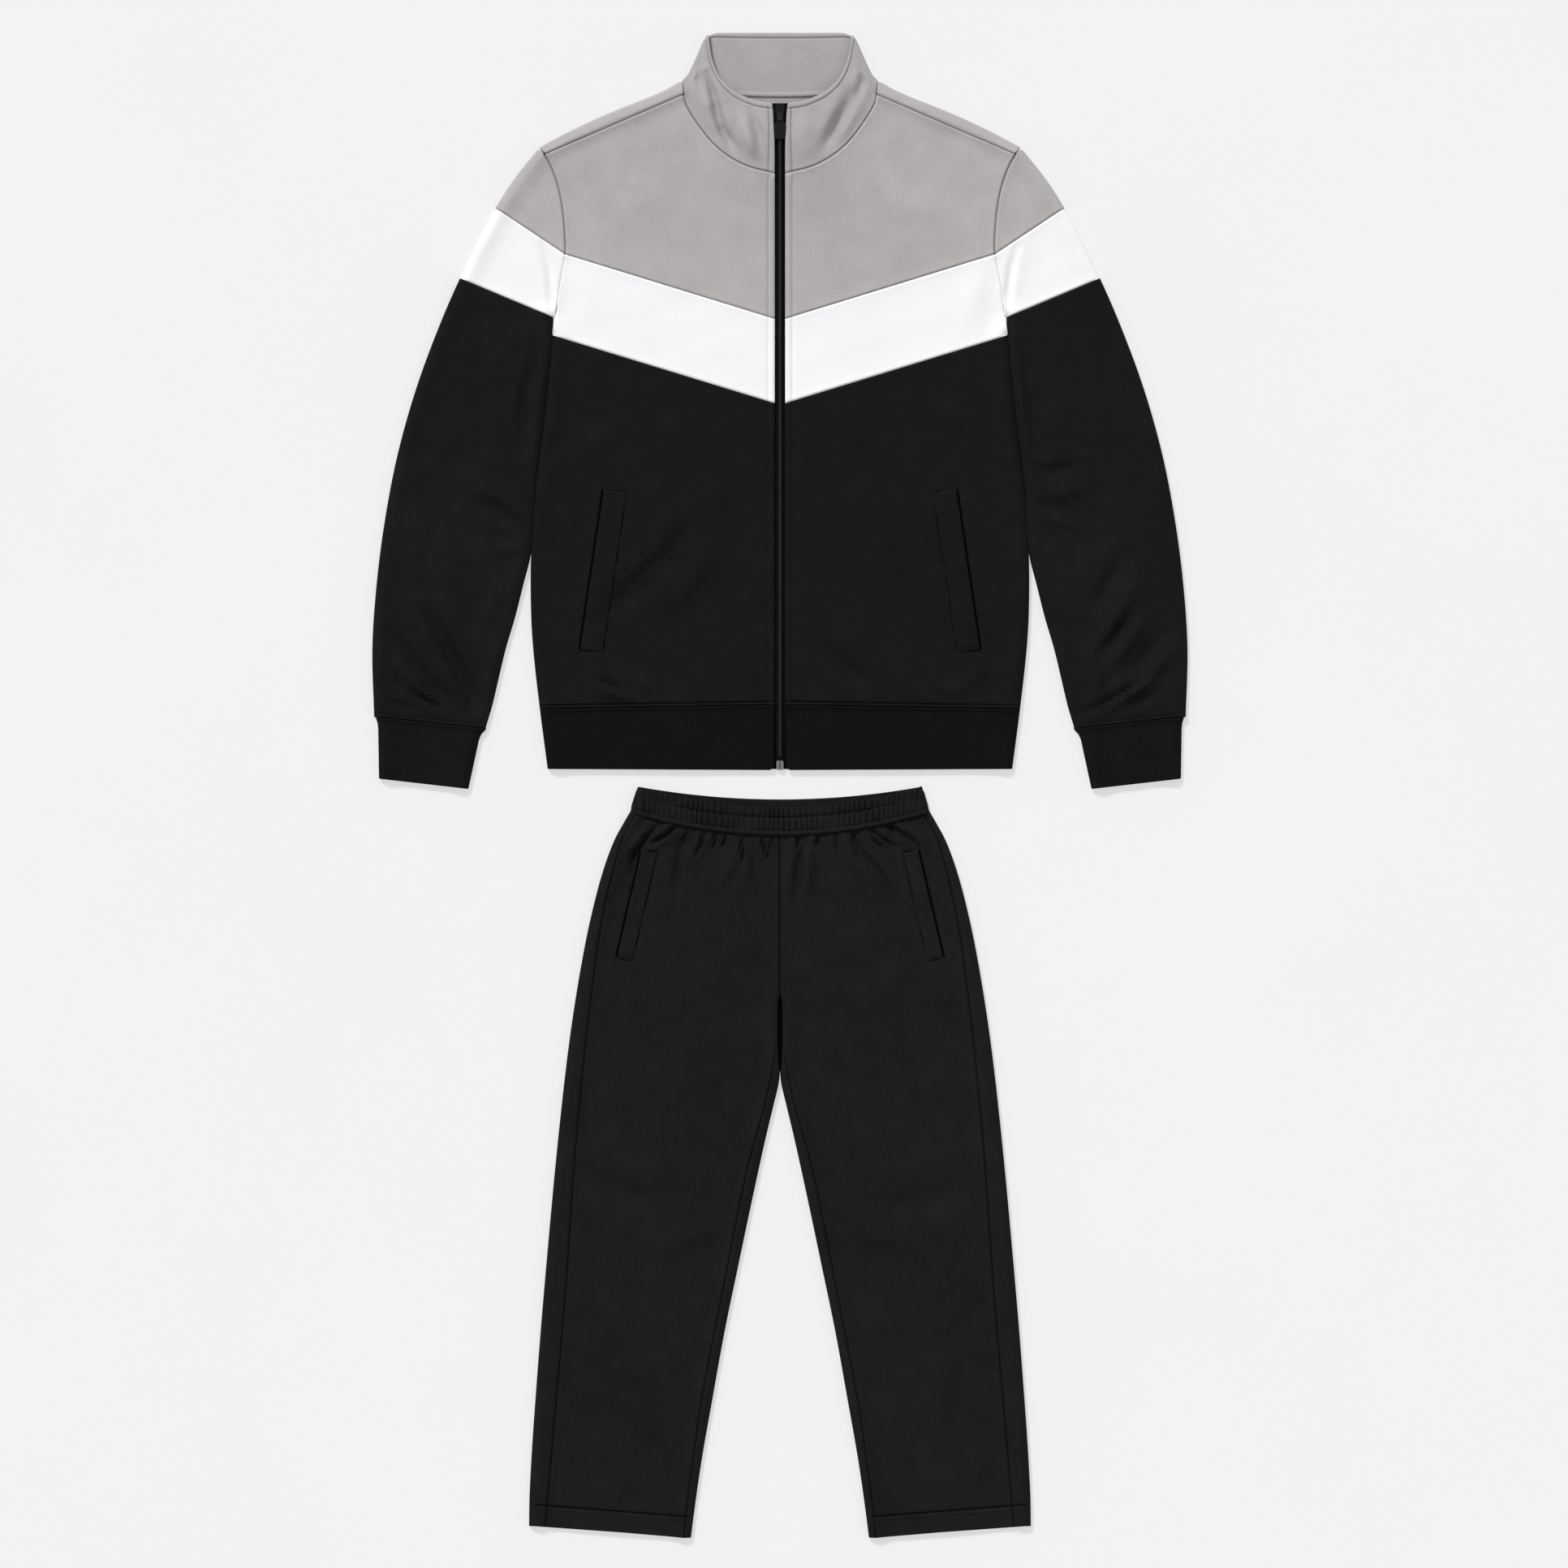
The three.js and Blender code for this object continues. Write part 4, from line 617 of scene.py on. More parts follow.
def rounded_edge(grid, far, thickness, axis=0):
    """Rounds the cloth's free edge: far is each row's distance from it, or each column's."""
    radius = thickness / 2
    inside = np.sqrt(1 - (1 - np.clip(far / radius, 0.02, 1)) ** 2)
    shape = (-1, 1) if axis == 0 else (1, -1)
    grid[..., RISE] -= (radius * (1 - inside)).reshape(shape)
    grid[..., SHARE] *= ((1 + inside) / 2).reshape(shape)
    return grid


def linked(name, data):
    made = bpy.data.objects.new(name, data)
    bpy.context.scene.collection.objects.link(made)
    return made


def make_piece(name, points, faces, material, sharp=48):
    """A Blender object in metres that rides on the suit's body of the frame."""
    mesh = bpy.data.meshes.new(name)
    mesh.from_pydata((points * MM).tolist(), [], faces.tolist())
    mesh.shade_smooth()
    mesh.set_sharp_from_angle(angle=math.radians(sharp))
    mesh.materials.append(material)
    piece = linked(name, mesh)
    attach(piece, "suit")
    return piece


# %% [markdown]
# A material is a graph of nodes. Written as expressions it reads like the maths it is: Value
# wraps one socket, and + - and * on it add Math nodes.

# %% Shader maths as expressions
class Value:
    def __init__(self, recipe, socket):
        self.recipe, self.socket = recipe, socket

    def maths(self, operation, other):
        return self.recipe.node("ShaderNodeMath", {"operation": operation}, {0: self, 1: other})

    def __add__(self, other):
        return self.maths("ADD", other)

    def __sub__(self, other):
        return self.maths("SUBTRACT", other)

    def __mul__(self, other):
        return self.maths("MULTIPLY", other)

    __radd__ = __add__


class Recipe:
    """One material and its nodes."""

    def __init__(self, name):
        self.material = bpy.data.materials.new(name)
        self.material.use_nodes = True
        self.tree = self.material.node_tree
        self.tree.nodes.clear()

    def node(self, kind, settings=None, inputs=None, output=0):
        made = self.tree.nodes.new(kind)
        for key, value in (settings or {}).items():
            setattr(made, key, value)
        for key, value in (inputs or {}).items():
            if isinstance(value, Value):
                self.tree.links.new(value.socket, made.inputs[key])
            else:
                made.inputs[key].default_value = value
        return None if output is None else Value(self, made.outputs[output])

    def place(self):
        return self.node("ShaderNodeTexCoord", output=3)

    def bump(self, strength, distance, height):
        return self.node("ShaderNodeBump", {}, {
            "Strength": strength, "Distance": distance, "Height": height,
        })

    def mix(self, factor, a, b):
        return self.node("ShaderNodeMix", {"data_type": "RGBA"}, {0: factor, 6: a, 7: b}, output=2)

    def noise(self, where, scale, detail=2.0, roughness=0.5):
        return self.node("ShaderNodeTexNoise", {}, {
            "Vector": where, "Scale": scale, "Detail": detail, "Roughness": roughness,
        })

    def finish(self, **inputs):
        shader = self.node("ShaderNodeBsdfPrincipled", {}, {
            key.replace("_", " "): value for key, value in inputs.items()
        })
        self.node("ShaderNodeOutputMaterial", {}, {"Surface": shader}, output=None)
        return self.material


def shade(colour, factor):
    return (*[min(1.0, c * factor) for c in colour], 1.0)


# %% [markdown]
# The suit is a smooth polyester knit, matt with a faint sheen. Up close it has columns of loops
# about a millimetre apart and a fine fuzz. Both are too small to model, so they are bump, with a
# slight change of tone from place to place as knit has.

# %% Knit materials
def knit(name, colour, roughness=0.9, sheen=0.12, depth=0.3, tone=0.06, pitch=1.05, gloss=0.12):
    recipe = Recipe(name)
    where = recipe.place()
    loops = recipe.node("ShaderNodeTexWave", {"wave_type": "BANDS", "bands_direction": "X"}, {
        "Vector": where, "Scale": 314.0 / pitch, "Distortion": 1.4, "Detail": 1.0, "Detail Scale": 2.0,
    }, output=1)
    fuzz = recipe.noise(where, 620.0, 4.0, 0.75)
    patches = recipe.noise(where, 42.0, 3.0, 0.55)
    broad = recipe.noise(where, 7.0, 2.0)
    face = loops * 0.35 + fuzz * 0.65
    light = patches * 0.3 + fuzz * 0.5 + broad * 0.2
    base = recipe.mix(light, shade(colour, 1 - tone * 2), shade(colour, 1 + tone * 2))
    return recipe.finish(
        Base_Color=base, Roughness=roughness + (patches - 0.5) * 0.08,
        Normal=recipe.bump(depth, 0.0004, face),
        Sheen_Weight=sheen, Sheen_Roughness=0.45, Sheen_Tint=(1, 1, 1, 1), Specular_IOR_Level=gloss,
    )


GREY = knit("grey knit", (0.425, 0.404, 0.400), sheen=0.06, tone=0.2)
COLLAR = knit("grey collar knit", (0.398, 0.377, 0.374), sheen=0.06, tone=0.2)
WHITE = knit("white knit", (0.888, 0.888, 0.904), tone=0.03, depth=0.15, sheen=0.0)
DARK = {"sheen": 0.01, "tone": 0.5, "gloss": 0.05}
BLACK = knit("black knit", (0.0087, 0.0087, 0.0093), **DARK)
SLEEVE = knit("black sleeve knit", (0.0094, 0.0094, 0.0102), **DARK)
HEM = knit("black hem rib", (0.0055, 0.0055, 0.0057), **DARK)
RIB = knit("black cuff rib", (0.0072, 0.0072, 0.0077), **DARK)
TROUSER = knit("black trouser knit", (0.0108, 0.0108, 0.0118), **DARK)
WAIST = knit("black waist knit", (0.0103, 0.0103, 0.0108), **DARK)
SPUN_AND_SEAM_SHADE = {"depth": 0.1, "tone": 0.02}
GREY_THREAD = knit("grey thread", (0.33, 0.315, 0.31), **SPUN_AND_SEAM_SHADE)
WHITE_THREAD = knit("white thread", (0.74, 0.74, 0.75), **SPUN_AND_SEAM_SHADE)
# The three seam materials are painted shade: dark rods that draw the shadow in the seams' valleys.
GREY_SEAM_SHADE = knit("grey seam painted shade", (0.17, 0.161, 0.158), sheen=0.0, **SPUN_AND_SEAM_SHADE)
WHITE_SEAM_SHADE = knit("white seam painted shade", (0.62, 0.62, 0.64), sheen=0.0, **SPUN_AND_SEAM_SHADE)
BLACK_SEAM_SHADE = knit("black seam painted shade", (0.0022, 0.0022, 0.0023), sheen=0.0, gloss=0.02, **SPUN_AND_SEAM_SHADE)
BLACK_THREAD = knit("black thread", (0.007, 0.007, 0.0073), gloss=0.05, **SPUN_AND_SEAM_SHADE)
TAPE = knit(
    "zip tape weave", (0.005, 0.005, 0.0052),
    roughness=0.8, pitch=0.8, tone=0.08, sheen=0.0, gloss=0.05,
)
print("knit materials:", len(bpy.data.materials))


# %% [markdown]
# The zip's coil and its pull are hard plastic and painted metal. A little unevenness in their
# roughness keeps the highlights from looking like a plain render.

# %% Hard materials
def hard(name, colour, roughness, metallic=0.0, gloss=0.5):
    recipe = Recipe(name)
    where = recipe.place()
    specks = recipe.noise(where, 900.0, 4.0, 0.6)
    wear = recipe.noise(where, 160.0, 2.0)
    base = recipe.mix(wear, shade(colour, 0.85), shade(colour, 1.15))
    return recipe.finish(
        Base_Color=base, Roughness=roughness + (specks - 0.5) * 0.15, Metallic=metallic,
        Normal=recipe.bump(0.12, 0.0001, specks), Specular_IOR_Level=gloss,
    )


# The coil is lighter than its tape, partly the plastic's own colour and partly painted highlight on its
# loops.
COIL_AND_HIGHLIGHT = hard("zip coil plastic and painted highlight", (0.031, 0.031, 0.032), 0.5, gloss=0.4)
PULL = hard("black pull", (0.004, 0.004, 0.0044), 0.3, gloss=0.35)
# A light grey that paints highlights on the slider's crown.
SLIDER_HIGHLIGHT = hard("slider painted highlight", (0.09, 0.09, 0.092), 0.3)
METAL = hard("zip metal", (0.3, 0.3, 0.305), 0.38, metallic=0.85)


# %% [markdown]
# Each cloth piece prints the size it was cut to. The cut is measured on the grid, as
# if it were unrolled: the longest row, the longest column and the area of the face.

# %% Cloth pieces
SIDES = (("left", -1), ("right", 1))
LEAST_SHARE = 0.31


def row_lengths(grid, axis):
    return np.linalg.norm(np.diff(grid[..., :3], axis=axis), axis=-1).sum(axis=axis)


def add_cloth(
    node, grids, material, slot, low=-CLOTH, high=0.0, facing="up",
    cut=None, waves=1.0,
):
    points, faces, area = wall(grids, low, high, facing)
    piece = make_piece(f"{node}_cloth", points, faces, material)
    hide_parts(node)
    width, length = cut or (row_lengths(grids[0], 1).max(), row_lengths(grids[0], 0).max())
    share = waves * area / (width * length)
    min(1.0, max(LEAST_SHARE, share)) * width * length * MM * MM
    print(f"{piece.name}: {len(faces)} triangles, cut {width:.0f} x {length:.0f} mm, {share:.2f} of it")


# %% [markdown]
# The jacket's fronts: yoke, band and body. Their rows run from the zip to the armhole or the side
# fold, and lean as the chevron does.

# %% Front body, band and yoke
def zip_points(y):
    return pairs(ZIP_HALF - SEAM_SIDE, y)


def front_body(side):
    v = shares(307, tail=np.concatenate([AT_SEAM[:5], [3.6, 4.2, 5, 6.5, 9]]))
    y_zip, y_side = lerp(WHITE_ZIP, HEM_SEAM_ZIP, v), lerp(WHITE_SIDE, HEM_SEAM_SIDE, v)
    edge = at_height(BODY_SIDE, y_side)
    plan = rows_between(zip_points(y_zip), edge, COLUMNS, AT_ZIP, AT_FOLD)
    grid = upper(plan, side, BODY_FOLDS)
    last = packed(edge, ROLL + LAYER_GAP, side)[:, None]
    return [np.concatenate([grid, last], axis=1)]


def front_band(side):
    v = shares(BAND_WIDE)
    start = zip_points(lerp(GREY_ZIP, WHITE_ZIP, v))
    end = at_height(ARMHOLE, lerp(GREY_SIDE, WHITE_SIDE, v))
    plan = rows_between(start, end, COLUMNS, AT_ZIP, AT_SEAM)
    return [upper(plan, side, BODY_FOLDS)]


def yoke_places():
    """Row numbers of the yoke, 0 at the shoulder seam, 6 where the neck meets the zip, 8 below."""
    neck = np.concatenate([[0, 0.05, 0.12, 0.22], np.linspace(0.35, 6, 40)])
    front = np.linspace(6, 7, 20)[1:]
    low = 8 - np.concatenate([np.linspace(BAND_WIDE, 8, 24)[1:], AT_SEAM[::-1]]) / BAND_WIDE
    return np.concatenate([neck, front, low])


def front_yoke(side):
    n = yoke_places()
    on_neck = n <= 6
    neck = 6 - np.minimum(n, 6)
    y_zip = np.where(n <= 7, lerp(NECK, YOKE_MIDDLE, n - 6), lerp(YOKE_MIDDLE, GREY_ZIP, n - 7))
    x = np.where(on_neck, along(NECK_X, neck) + SEAM_SIDE / 2, ZIP_HALF - SEAM_SIDE)
    y = np.where(on_neck, along(NECK_Y, neck) - SEAM_SIDE, y_zip)
    y_arm = np.interp(n, np.arange(9), ARMHOLE_ROWS)
    start, end = pairs(x, y), at_height(ARMHOLE, y_arm)
    first = np.clip(1 - n, 0, 1)[:, None]
    start = lerp(start, np.array(SEAM_NECK) - (0, SEAM), first * (n[:, None] == 0))
    end = lerp(end, np.array(SEAM_ARM) - (0, SEAM), first)
    return [upper(rows_between(start, end, COLUMNS, AT_ZIP, AT_SEAM), side, BODY_FOLDS)]


for name, side in SIDES:
    add_cloth(f"jacket_front_body_{name}", front_body(side), BLACK, "black_knit")
    add_cloth(f"jacket_front_band_{name}", front_band(side), WHITE, "white_knit")
    add_cloth(f"jacket_front_yoke_{name}", front_yoke(side), GREY, "grey_knit")


# %% [markdown]
# The back lies flat on the surface and turns up at the side folds. The yoke comes over the
# shoulder to a seam on the front, as a forward shoulder seam does.

# %% Back body, band and yoke
OVER_FROM, SHOULDER_END = 24, 245.9


def both_ways(plan):
    return np.concatenate([plan[:, ::-1] * (-1, 1), plan], axis=1)


def back_panel(table, top, low, length, step, tail):
    """The edge of a back panel that a table gives, and the panel between it and its mirror."""
    y = lerp(top, low, shares(length, step, AT_SEAM[:3], AT_SEAM[:3]))
    edge = at_height(table, y)
    half = rows_between(pairs(0.6, y), edge, 26, np.array([0.0]), tail)
    return edge, lower(both_ways(half), 1, BODY_FOLDS)


def back_body():
    edge, grid = back_panel(BODY_SIDE, WHITE_SIDE, HEM_SEAM_SIDE, 380, 9, ON_ROLL)
    ends = [packed(edge, ROLL, s)[:, None] for s in (-1, 1)]
    return [np.concatenate([ends[0], grid, ends[1]], axis=1)]


def back_band():
    return [back_panel(ARMHOLE, GREY_SIDE, WHITE_SIDE, BAND_WIDE, 6, AT_SEAM[:3])[1]]


def back_yoke_half(side):
    neck_x = np.linspace(0, BACK_EDGE, OVER_FROM)
    over_x = np.linspace(100.2, SHOULDER_END, 34)
    top = np.concatenate([
        pairs(neck_x, along(NECK_BACK, neck_x) - SEAM_SIDE), pairs(over_x, along(SHOULDER, over_x)),
    ])
    near_top = np.array([0.03, 0.02, 0.0125, 0.007, 0.0035, 0.001, 0])
    down = np.concatenate([np.linspace(0, 0.94, 22), 1 - near_top])
    y_arm = lerp(GREY_SIDE + SEAM_SIDE, SHOULDER_POINT, down)
    arm_x = along(ARMHOLE, y_arm) - SEAM_SIDE
    u = top[:, 0] / SHOULDER_END
    plain = lerp(arm_x[0], SHOULDER_END, down)
    x = lerp(arm_x[0] * u[None], top[None, :, 0], down[:, None]) + u[None] * (arm_x - plain)[:, None]
    y = lerp(GREY_SIDE + SEAM_SIDE, top[None, :, 1], down[:, None])
    grid = lower(pairs(x, y), side, BODY_FOLDS)
    crest = fold(top[OVER_FROM:], side)
    grid[-1, OVER_FROM:] = crest
    t = np.linspace(0, 1, len(over_x))[:, None]
    seam = lerp(np.array(SEAM_NECK), np.array(SEAM_ARM), t)
    strip = [crest]
    for d in (*ON_ROLL, 3.8, 4.8, 6, 7, 7.8, 8.4, 9):
        strip.append(upper(lerp(top[OVER_FROM:], seam, d / 9), side, BODY_FOLDS))
    return [grid, np.stack(strip)]


add_cloth("jacket_back_body", back_body(), BLACK, "black_knit", facing="down")
add_cloth("jacket_back_band", back_band(), WHITE, "white_knit", facing="down")
left_yoke = [grid[:, ::-1] for grid in back_yoke_half(-1)]
add_cloth(
    "jacket_back_yoke", left_yoke + back_yoke_half(1), GREY, "grey_knit", facing="down", cut=(492, 178),
)


# %% [markdown]
# Sleeves. Cap and band wrap the outer fold and are sewn to the body at the armhole. Below them the
# sleeve is a closed tube laid flat, with the elbow and forearm creases of cloth that hangs from
# an arm's bend.

# %% Sleeve cap, band and lower sleeve
CAP_OUT, BAND_IN, BAND_OUT, CUFF_IN, CUFF_OUT = 590.5, 478.5, 518.3, 57.8, 70.0


def wrapped(y, y_out, side):
    """A band round the outer fold, between these heights at the armhole and at the fold."""
    arm, outer = at_height(ARMHOLE, y, SEAM_SIDE), at_height(SLEEVE_OUTER, y_out)
    over = upper(rows_between(arm, outer, 22, AT_SEAM, AT_FOLD), side, SLEEVE_FOLDS)
    under = lower(rows_between(outer, arm, 8, ON_ROLL, AT_SEAM[:2]), side, SLEEVE_FOLDS)
    return [np.concatenate([over, fold(outer, side)[:, None], under], axis=1)]


def sleeve_cap(side):
    n = np.concatenate([np.linspace(0, 7.6, 36), 8 - np.array([4.4, 3, 2, 1.3, 0.7, 0.2]) / 17])
    y = np.interp(n, np.arange(9), [648.6, *ARMHOLE_ROWS[1:]])
    y_out = lerp(649.4, CAP_OUT, (n / 8) ** 1.15)
    y_out[-1] += SEAM_SIDE
    return wrapped(y, y_out, side)


def sleeve_band(side):
    v = shares(72)
    return wrapped(lerp(GREY_SIDE, BAND_IN, v), lerp(CAP_OUT, BAND_OUT, v), side)


def closed_tube(inner, over, outer, middle, side, folds):
    """All round a tube: its inner fold, its upper layer, its outer fold and its lower layer."""
    under = lower(rows_between(outer, inner, middle, ON_ROLL, ON_ROLL), side, folds)
    start, end = fold(inner, side)[:, None], fold(outer, side)[:, None]
    return np.concatenate([start, over, end, under, start], axis=1)


def lower_sleeve(side):
    v = shares(430, tail=np.concatenate([AT_SEAM, [8.5, 11]]))
    inner = at_height(SLEEVE_INNER, lerp(BAND_IN, CUFF_IN, v), SEAM_SIDE)
    outer = at_height(SLEEVE_OUTER, lerp(BAND_OUT, CUFF_OUT, v))
    over = upper(rows_between(inner, outer, 36, AT_FOLD, AT_FOLD), side, SLEEVE_FOLDS)
    return [closed_tube(inner, over, outer, 10, side, SLEEVE_FOLDS)]


for name, side in SIDES:
    add_cloth(f"sleeve_cap_{name}", sleeve_cap(side), GREY, "grey_knit", cut=(170, 118))
    add_cloth(f"sleeve_band_{name}", sleeve_band(side), WHITE, "white_knit")
    add_cloth(f"sleeve_lower_{name}", lower_sleeve(side), SLEEVE, "black_knit")


# %% [markdown]
# Cuffs and hem band are rib knit, folded double. The ribs are 3 mm apart and stand half a
# millimetre, so they are modelled as waves across the rows and not as bump.

# %% Cuffs and hem band
RIB_PITCH, RIB_RISE, HEM_LONG = 3.0, 0.5, 235
EDGE_STEPS = np.array([0.0, 0.08, 0.25, 0.5, 0.8, 1.4, 2.6, 5.0])


def ribbed_rise(far, length):
    """Ribs that fade out on the rolls of the folds."""
    ribs = RIB_RISE * (0.5 - 0.5 * np.cos(2 * np.pi * far / RIB_PITCH)) ** 0.8
    return ribs * smoothstep(np.minimum(far, length - far), 0.6 * ROLL, 2 * ROLL)


def rib_levels(length):
    """Rows from the seam to the free edge, and each one's distance from that edge."""
    v = levels(length, 10, AT_SEAM, EDGE_STEPS)
    return v, (1 - v) * length


def plan_across(start, end, across):
    return start[:, None] + (end - start)[:, None] * across[None, :, None]


def cuff(side):
    v, far = rib_levels(CUFF_WIDE)
    inner, outer = cuff_side(0, v), cuff_side(1, v)
    length = np.hypot(*(outer - inner).T).mean()
    on_roll = ON_ROLL[:4] / 100
    across = np.concatenate([on_roll, np.linspace(0.032, 0.968, 129), 1 - on_roll[::-1]])
    rise = ribbed_rise(across * length, length)[None] * np.ones((len(v), 1))
    over = upper(plan_across(inner, outer, across), side, CUFF_FOLDS, RIB_TOP, rise)
    return [rounded_edge(closed_tube(inner, over, outer, 8, side, CUFF_FOLDS), far, RIB_CLOTH)]


def hem_band():
    v, far = rib_levels(HEM_WIDE)
    start = pairs(ZIP_HALF + v, lerp(HEM_SEAM_ZIP, HEM_ZIP, v))
    turn = at_height(BODY_SIDE, lerp(HEM_SEAM_SIDE, HEM_SIDE, v))
    across = np.concatenate([
        EDGE_STEPS[:6] / HEM_LONG, np.linspace(2.2 / HEM_LONG, 0.985, 310),
        1 - ON_ROLL[:4][::-1] / HEM_LONG,
    ])
    from_zip = across * HEM_LONG
    plan = plan_across(start, turn, across)
    # the lower corner beside the zip is cut round
    corner = hump(from_zip, 2.4)[None] * hump(far, 3.0)[:, None]
    plan[..., 1] += 2.2 * corner
    rise = ribbed_rise(from_zip + 6, HEM_LONG + 6)[None] * np.ones((len(v), 1))
    right = upper(plan, 1, HEM_FOLDS, RIB_TOP, rise)
    left = upper(plan, -1, HEM_FOLDS, RIB_TOP, rise)[:, ::-1]
    for half, at in ((right, from_zip), (left, from_zip[::-1])):
        rounded_edge(half, at, RIB_CLOTH, axis=1)
    under = lower(rows_between(turn, turn * (-1, 1), 24, ON_ROLL, ON_ROLL), 1, HEM_FOLDS)
    folds = [fold(turn, s)[:, None] for s in (1, -1)]
    band = np.concatenate([right, folds[0], under, folds[1], left], axis=1)
    return [rounded_edge(band, far, RIB_CLOTH)]


for name, side in SIDES:
    add_cloth(f"sleeve_cuff_{name}", cuff(side), RIB, "black_rib", low=-RIB_CLOTH)
add_cloth("jacket_hem_band", hem_band(), HEM, "black_rib", low=-RIB_CLOTH)


# %% [markdown]
# The collar is a double band sewn to the neck. Its back half lies on the surface and its front
# half stands over it, so the neck gapes and the inside of the back shows. It bends a little
# outwards between seam and edge, with soft dents where it turns to the side.

# %% Collar
NECK_PLACES = np.concatenate([
    [0, 0.015, 0.035, 0.07, 0.11, 0.16, 0.2, 0.235, 0.26, 0.285, 0.33, 0.4, 0.5],
    np.linspace(0.62, 6, 54),
])
COLLAR_SEAM_STEPS = np.array([0, 0.4, 0.8, 1.3, 2, 3, 4.2, 5.2, 6.4])
COLLAR_EDGE_STEPS = np.array([0, 0.08, 0.25, 0.55, 1.2, 2, 3.4, 4.4, 5.1, 5.6, 6, 6.5, 7.2, 8.4])


def mouth_z(x):
    """Height of the collar's front top edge, which comes down to the side fold."""
    return lerp(MOUTH_Z, 2 * COLLAR_ROLL + 0.2, np.minimum(1, (x / 75) ** 2))


def collar_half(v, side):
    """Points of half the collar, for places v from its seam, 0, to its top edge, 1."""
    s = NECK_PLACES
    seam, top = curve(NECK_X, NECK_Y, s), curve(TOP_X, TOP_Y, s)
    reach = np.hypot(*(top - seam).T)[:, None]
    start = seam + (top - seam) * SEAM_SIDE / reach
    plan = lerp(start[None], top[None], v[:, None, None])
    straight = lerp(NECK_X[0][1], TOP_X[0][1], v) - zip_half(lerp(NECK, MOUTH, v))
    plan[..., 0] -= straight[:, None] * (1 - smoothstep(s, 0, 0.9))[None]
    seam_z = upper(seam, side, BODY_FOLDS)[..., 2]
    low = np.minimum(seam_z, mouth_z(seam[:, 0]) + 1)
    z = lerp(low[None], mouth_z(top[:, 0])[None], v[:, None])
    belly = np.sin(np.pi * v)[:, None] * (1.3 - 0.9 * (s / 6) ** 2)[None]
    dents = np.maximum(1.6 * (creased(side * plan[..., 0], plan[..., 1]) - AIR), -6)
    z = z + belly + dents * smoothstep(v, 0, 0.3)[:, None] * smoothstep(1 - s / 6, 0, 0.15)[None]
    front = packed(plan, z)
    fold_at = curve(COLLAR_SIDE_X, COLLAR_SIDE_Y, v)
    back_x = np.linspace(BACK_EDGE, 0, 30)
    back = pairs(
        lerp(back_x[None], along(BACK_TOP, back_x)[None], v[:, None]),
        lerp(along(NECK_BACK, back_x)[None] + SEAM_SIDE, BACK_TOP_Y, v[:, None]),
    )
    turn = COLLAR_ROLL * ROLL_PART
    rise = roll_height(turn, COLLAR_ROLL)
    level = front[:, -1, 2][:, None]
    over_z = lerp(COLLAR_ROLL, level, rise[None] / COLLAR_ROLL)
    over = packed(towards(fold_at, plan[:, -1], turn), over_z)
    under = packed(towards(fold_at, back[:, 0], turn), COLLAR_ROLL - rise[None])
    edge = packed(fold_at, COLLAR_ROLL)[:, None]
    half = np.concatenate([front, over[:, ::-1], edge, under, packed(back, 0.0)], axis=1)
    half[..., 0] *= side
    # the turned edge and its channel, the seam's roll, and the strip along the zip
    from_edge, from_seam, from_zip = (1 - v) * COLLAR_WIDE, v * COLLAR_WIDE, s * 27
    rim = 0.7 * smoothstep(from_edge, 0.1, 1.6) * (1 - smoothstep(from_edge, 4.4, 5.6))
    rim = rim - 0.8 * hump(from_edge, 0.8, at=6)
    seam_roll = 0.5 * hump(from_seam, 4) - 1.3 * hump(from_seam, 1.1)
    strip = 0.7 * hump(from_zip, 2.2, at=2.6) - 0.8 * hump(from_zip, 0.8, at=7)
    outside = len(s) + len(turn) + 1
    half[:, :outside, RISE] += (rim + seam_roll)[:, None]
    half[:, : len(s), RISE] += strip[None] * smoothstep(from_edge, 2, 6)[:, None]
    tape = 0.9 * smoothstep(from_seam, 0.5, 1.2) * (1 - smoothstep(from_seam, 4.0, 4.9))
    half[:, outside:, SHARE] += ((rim + tape) / COLLAR_CLOTH)[:, None]
    return half


def towards(start, goal, distances):
    way = (goal - start) / np.hypot(*(goal - start).T)[:, None]
    return start[:, None] + way[:, None] * distances[None, :, None]


def collar():
    v = levels(COLLAR_WIDE, 22, COLLAR_SEAM_STEPS, COLLAR_EDGE_STEPS)
    right, left = collar_half(v, 1), collar_half(v, -1)
    whole = np.concatenate([right, left[:, :-1][:, ::-1]], axis=1)
    steps = np.array([0, 0.4, 0.95, 1.9])
    ends = np.concatenate([steps, np.full(whole.shape[1] - 8, 9.0), steps[::-1]])
    rounded_edge(whole, ends, COLLAR_CLOTH, axis=1)
    return [rounded_edge(whole, (1 - v) * COLLAR_WIDE, COLLAR_CLOTH)]


add_cloth("jacket_collar", collar(), COLLAR, "grey_collar", low=-COLLAR_CLOTH, cut=(470, 76))
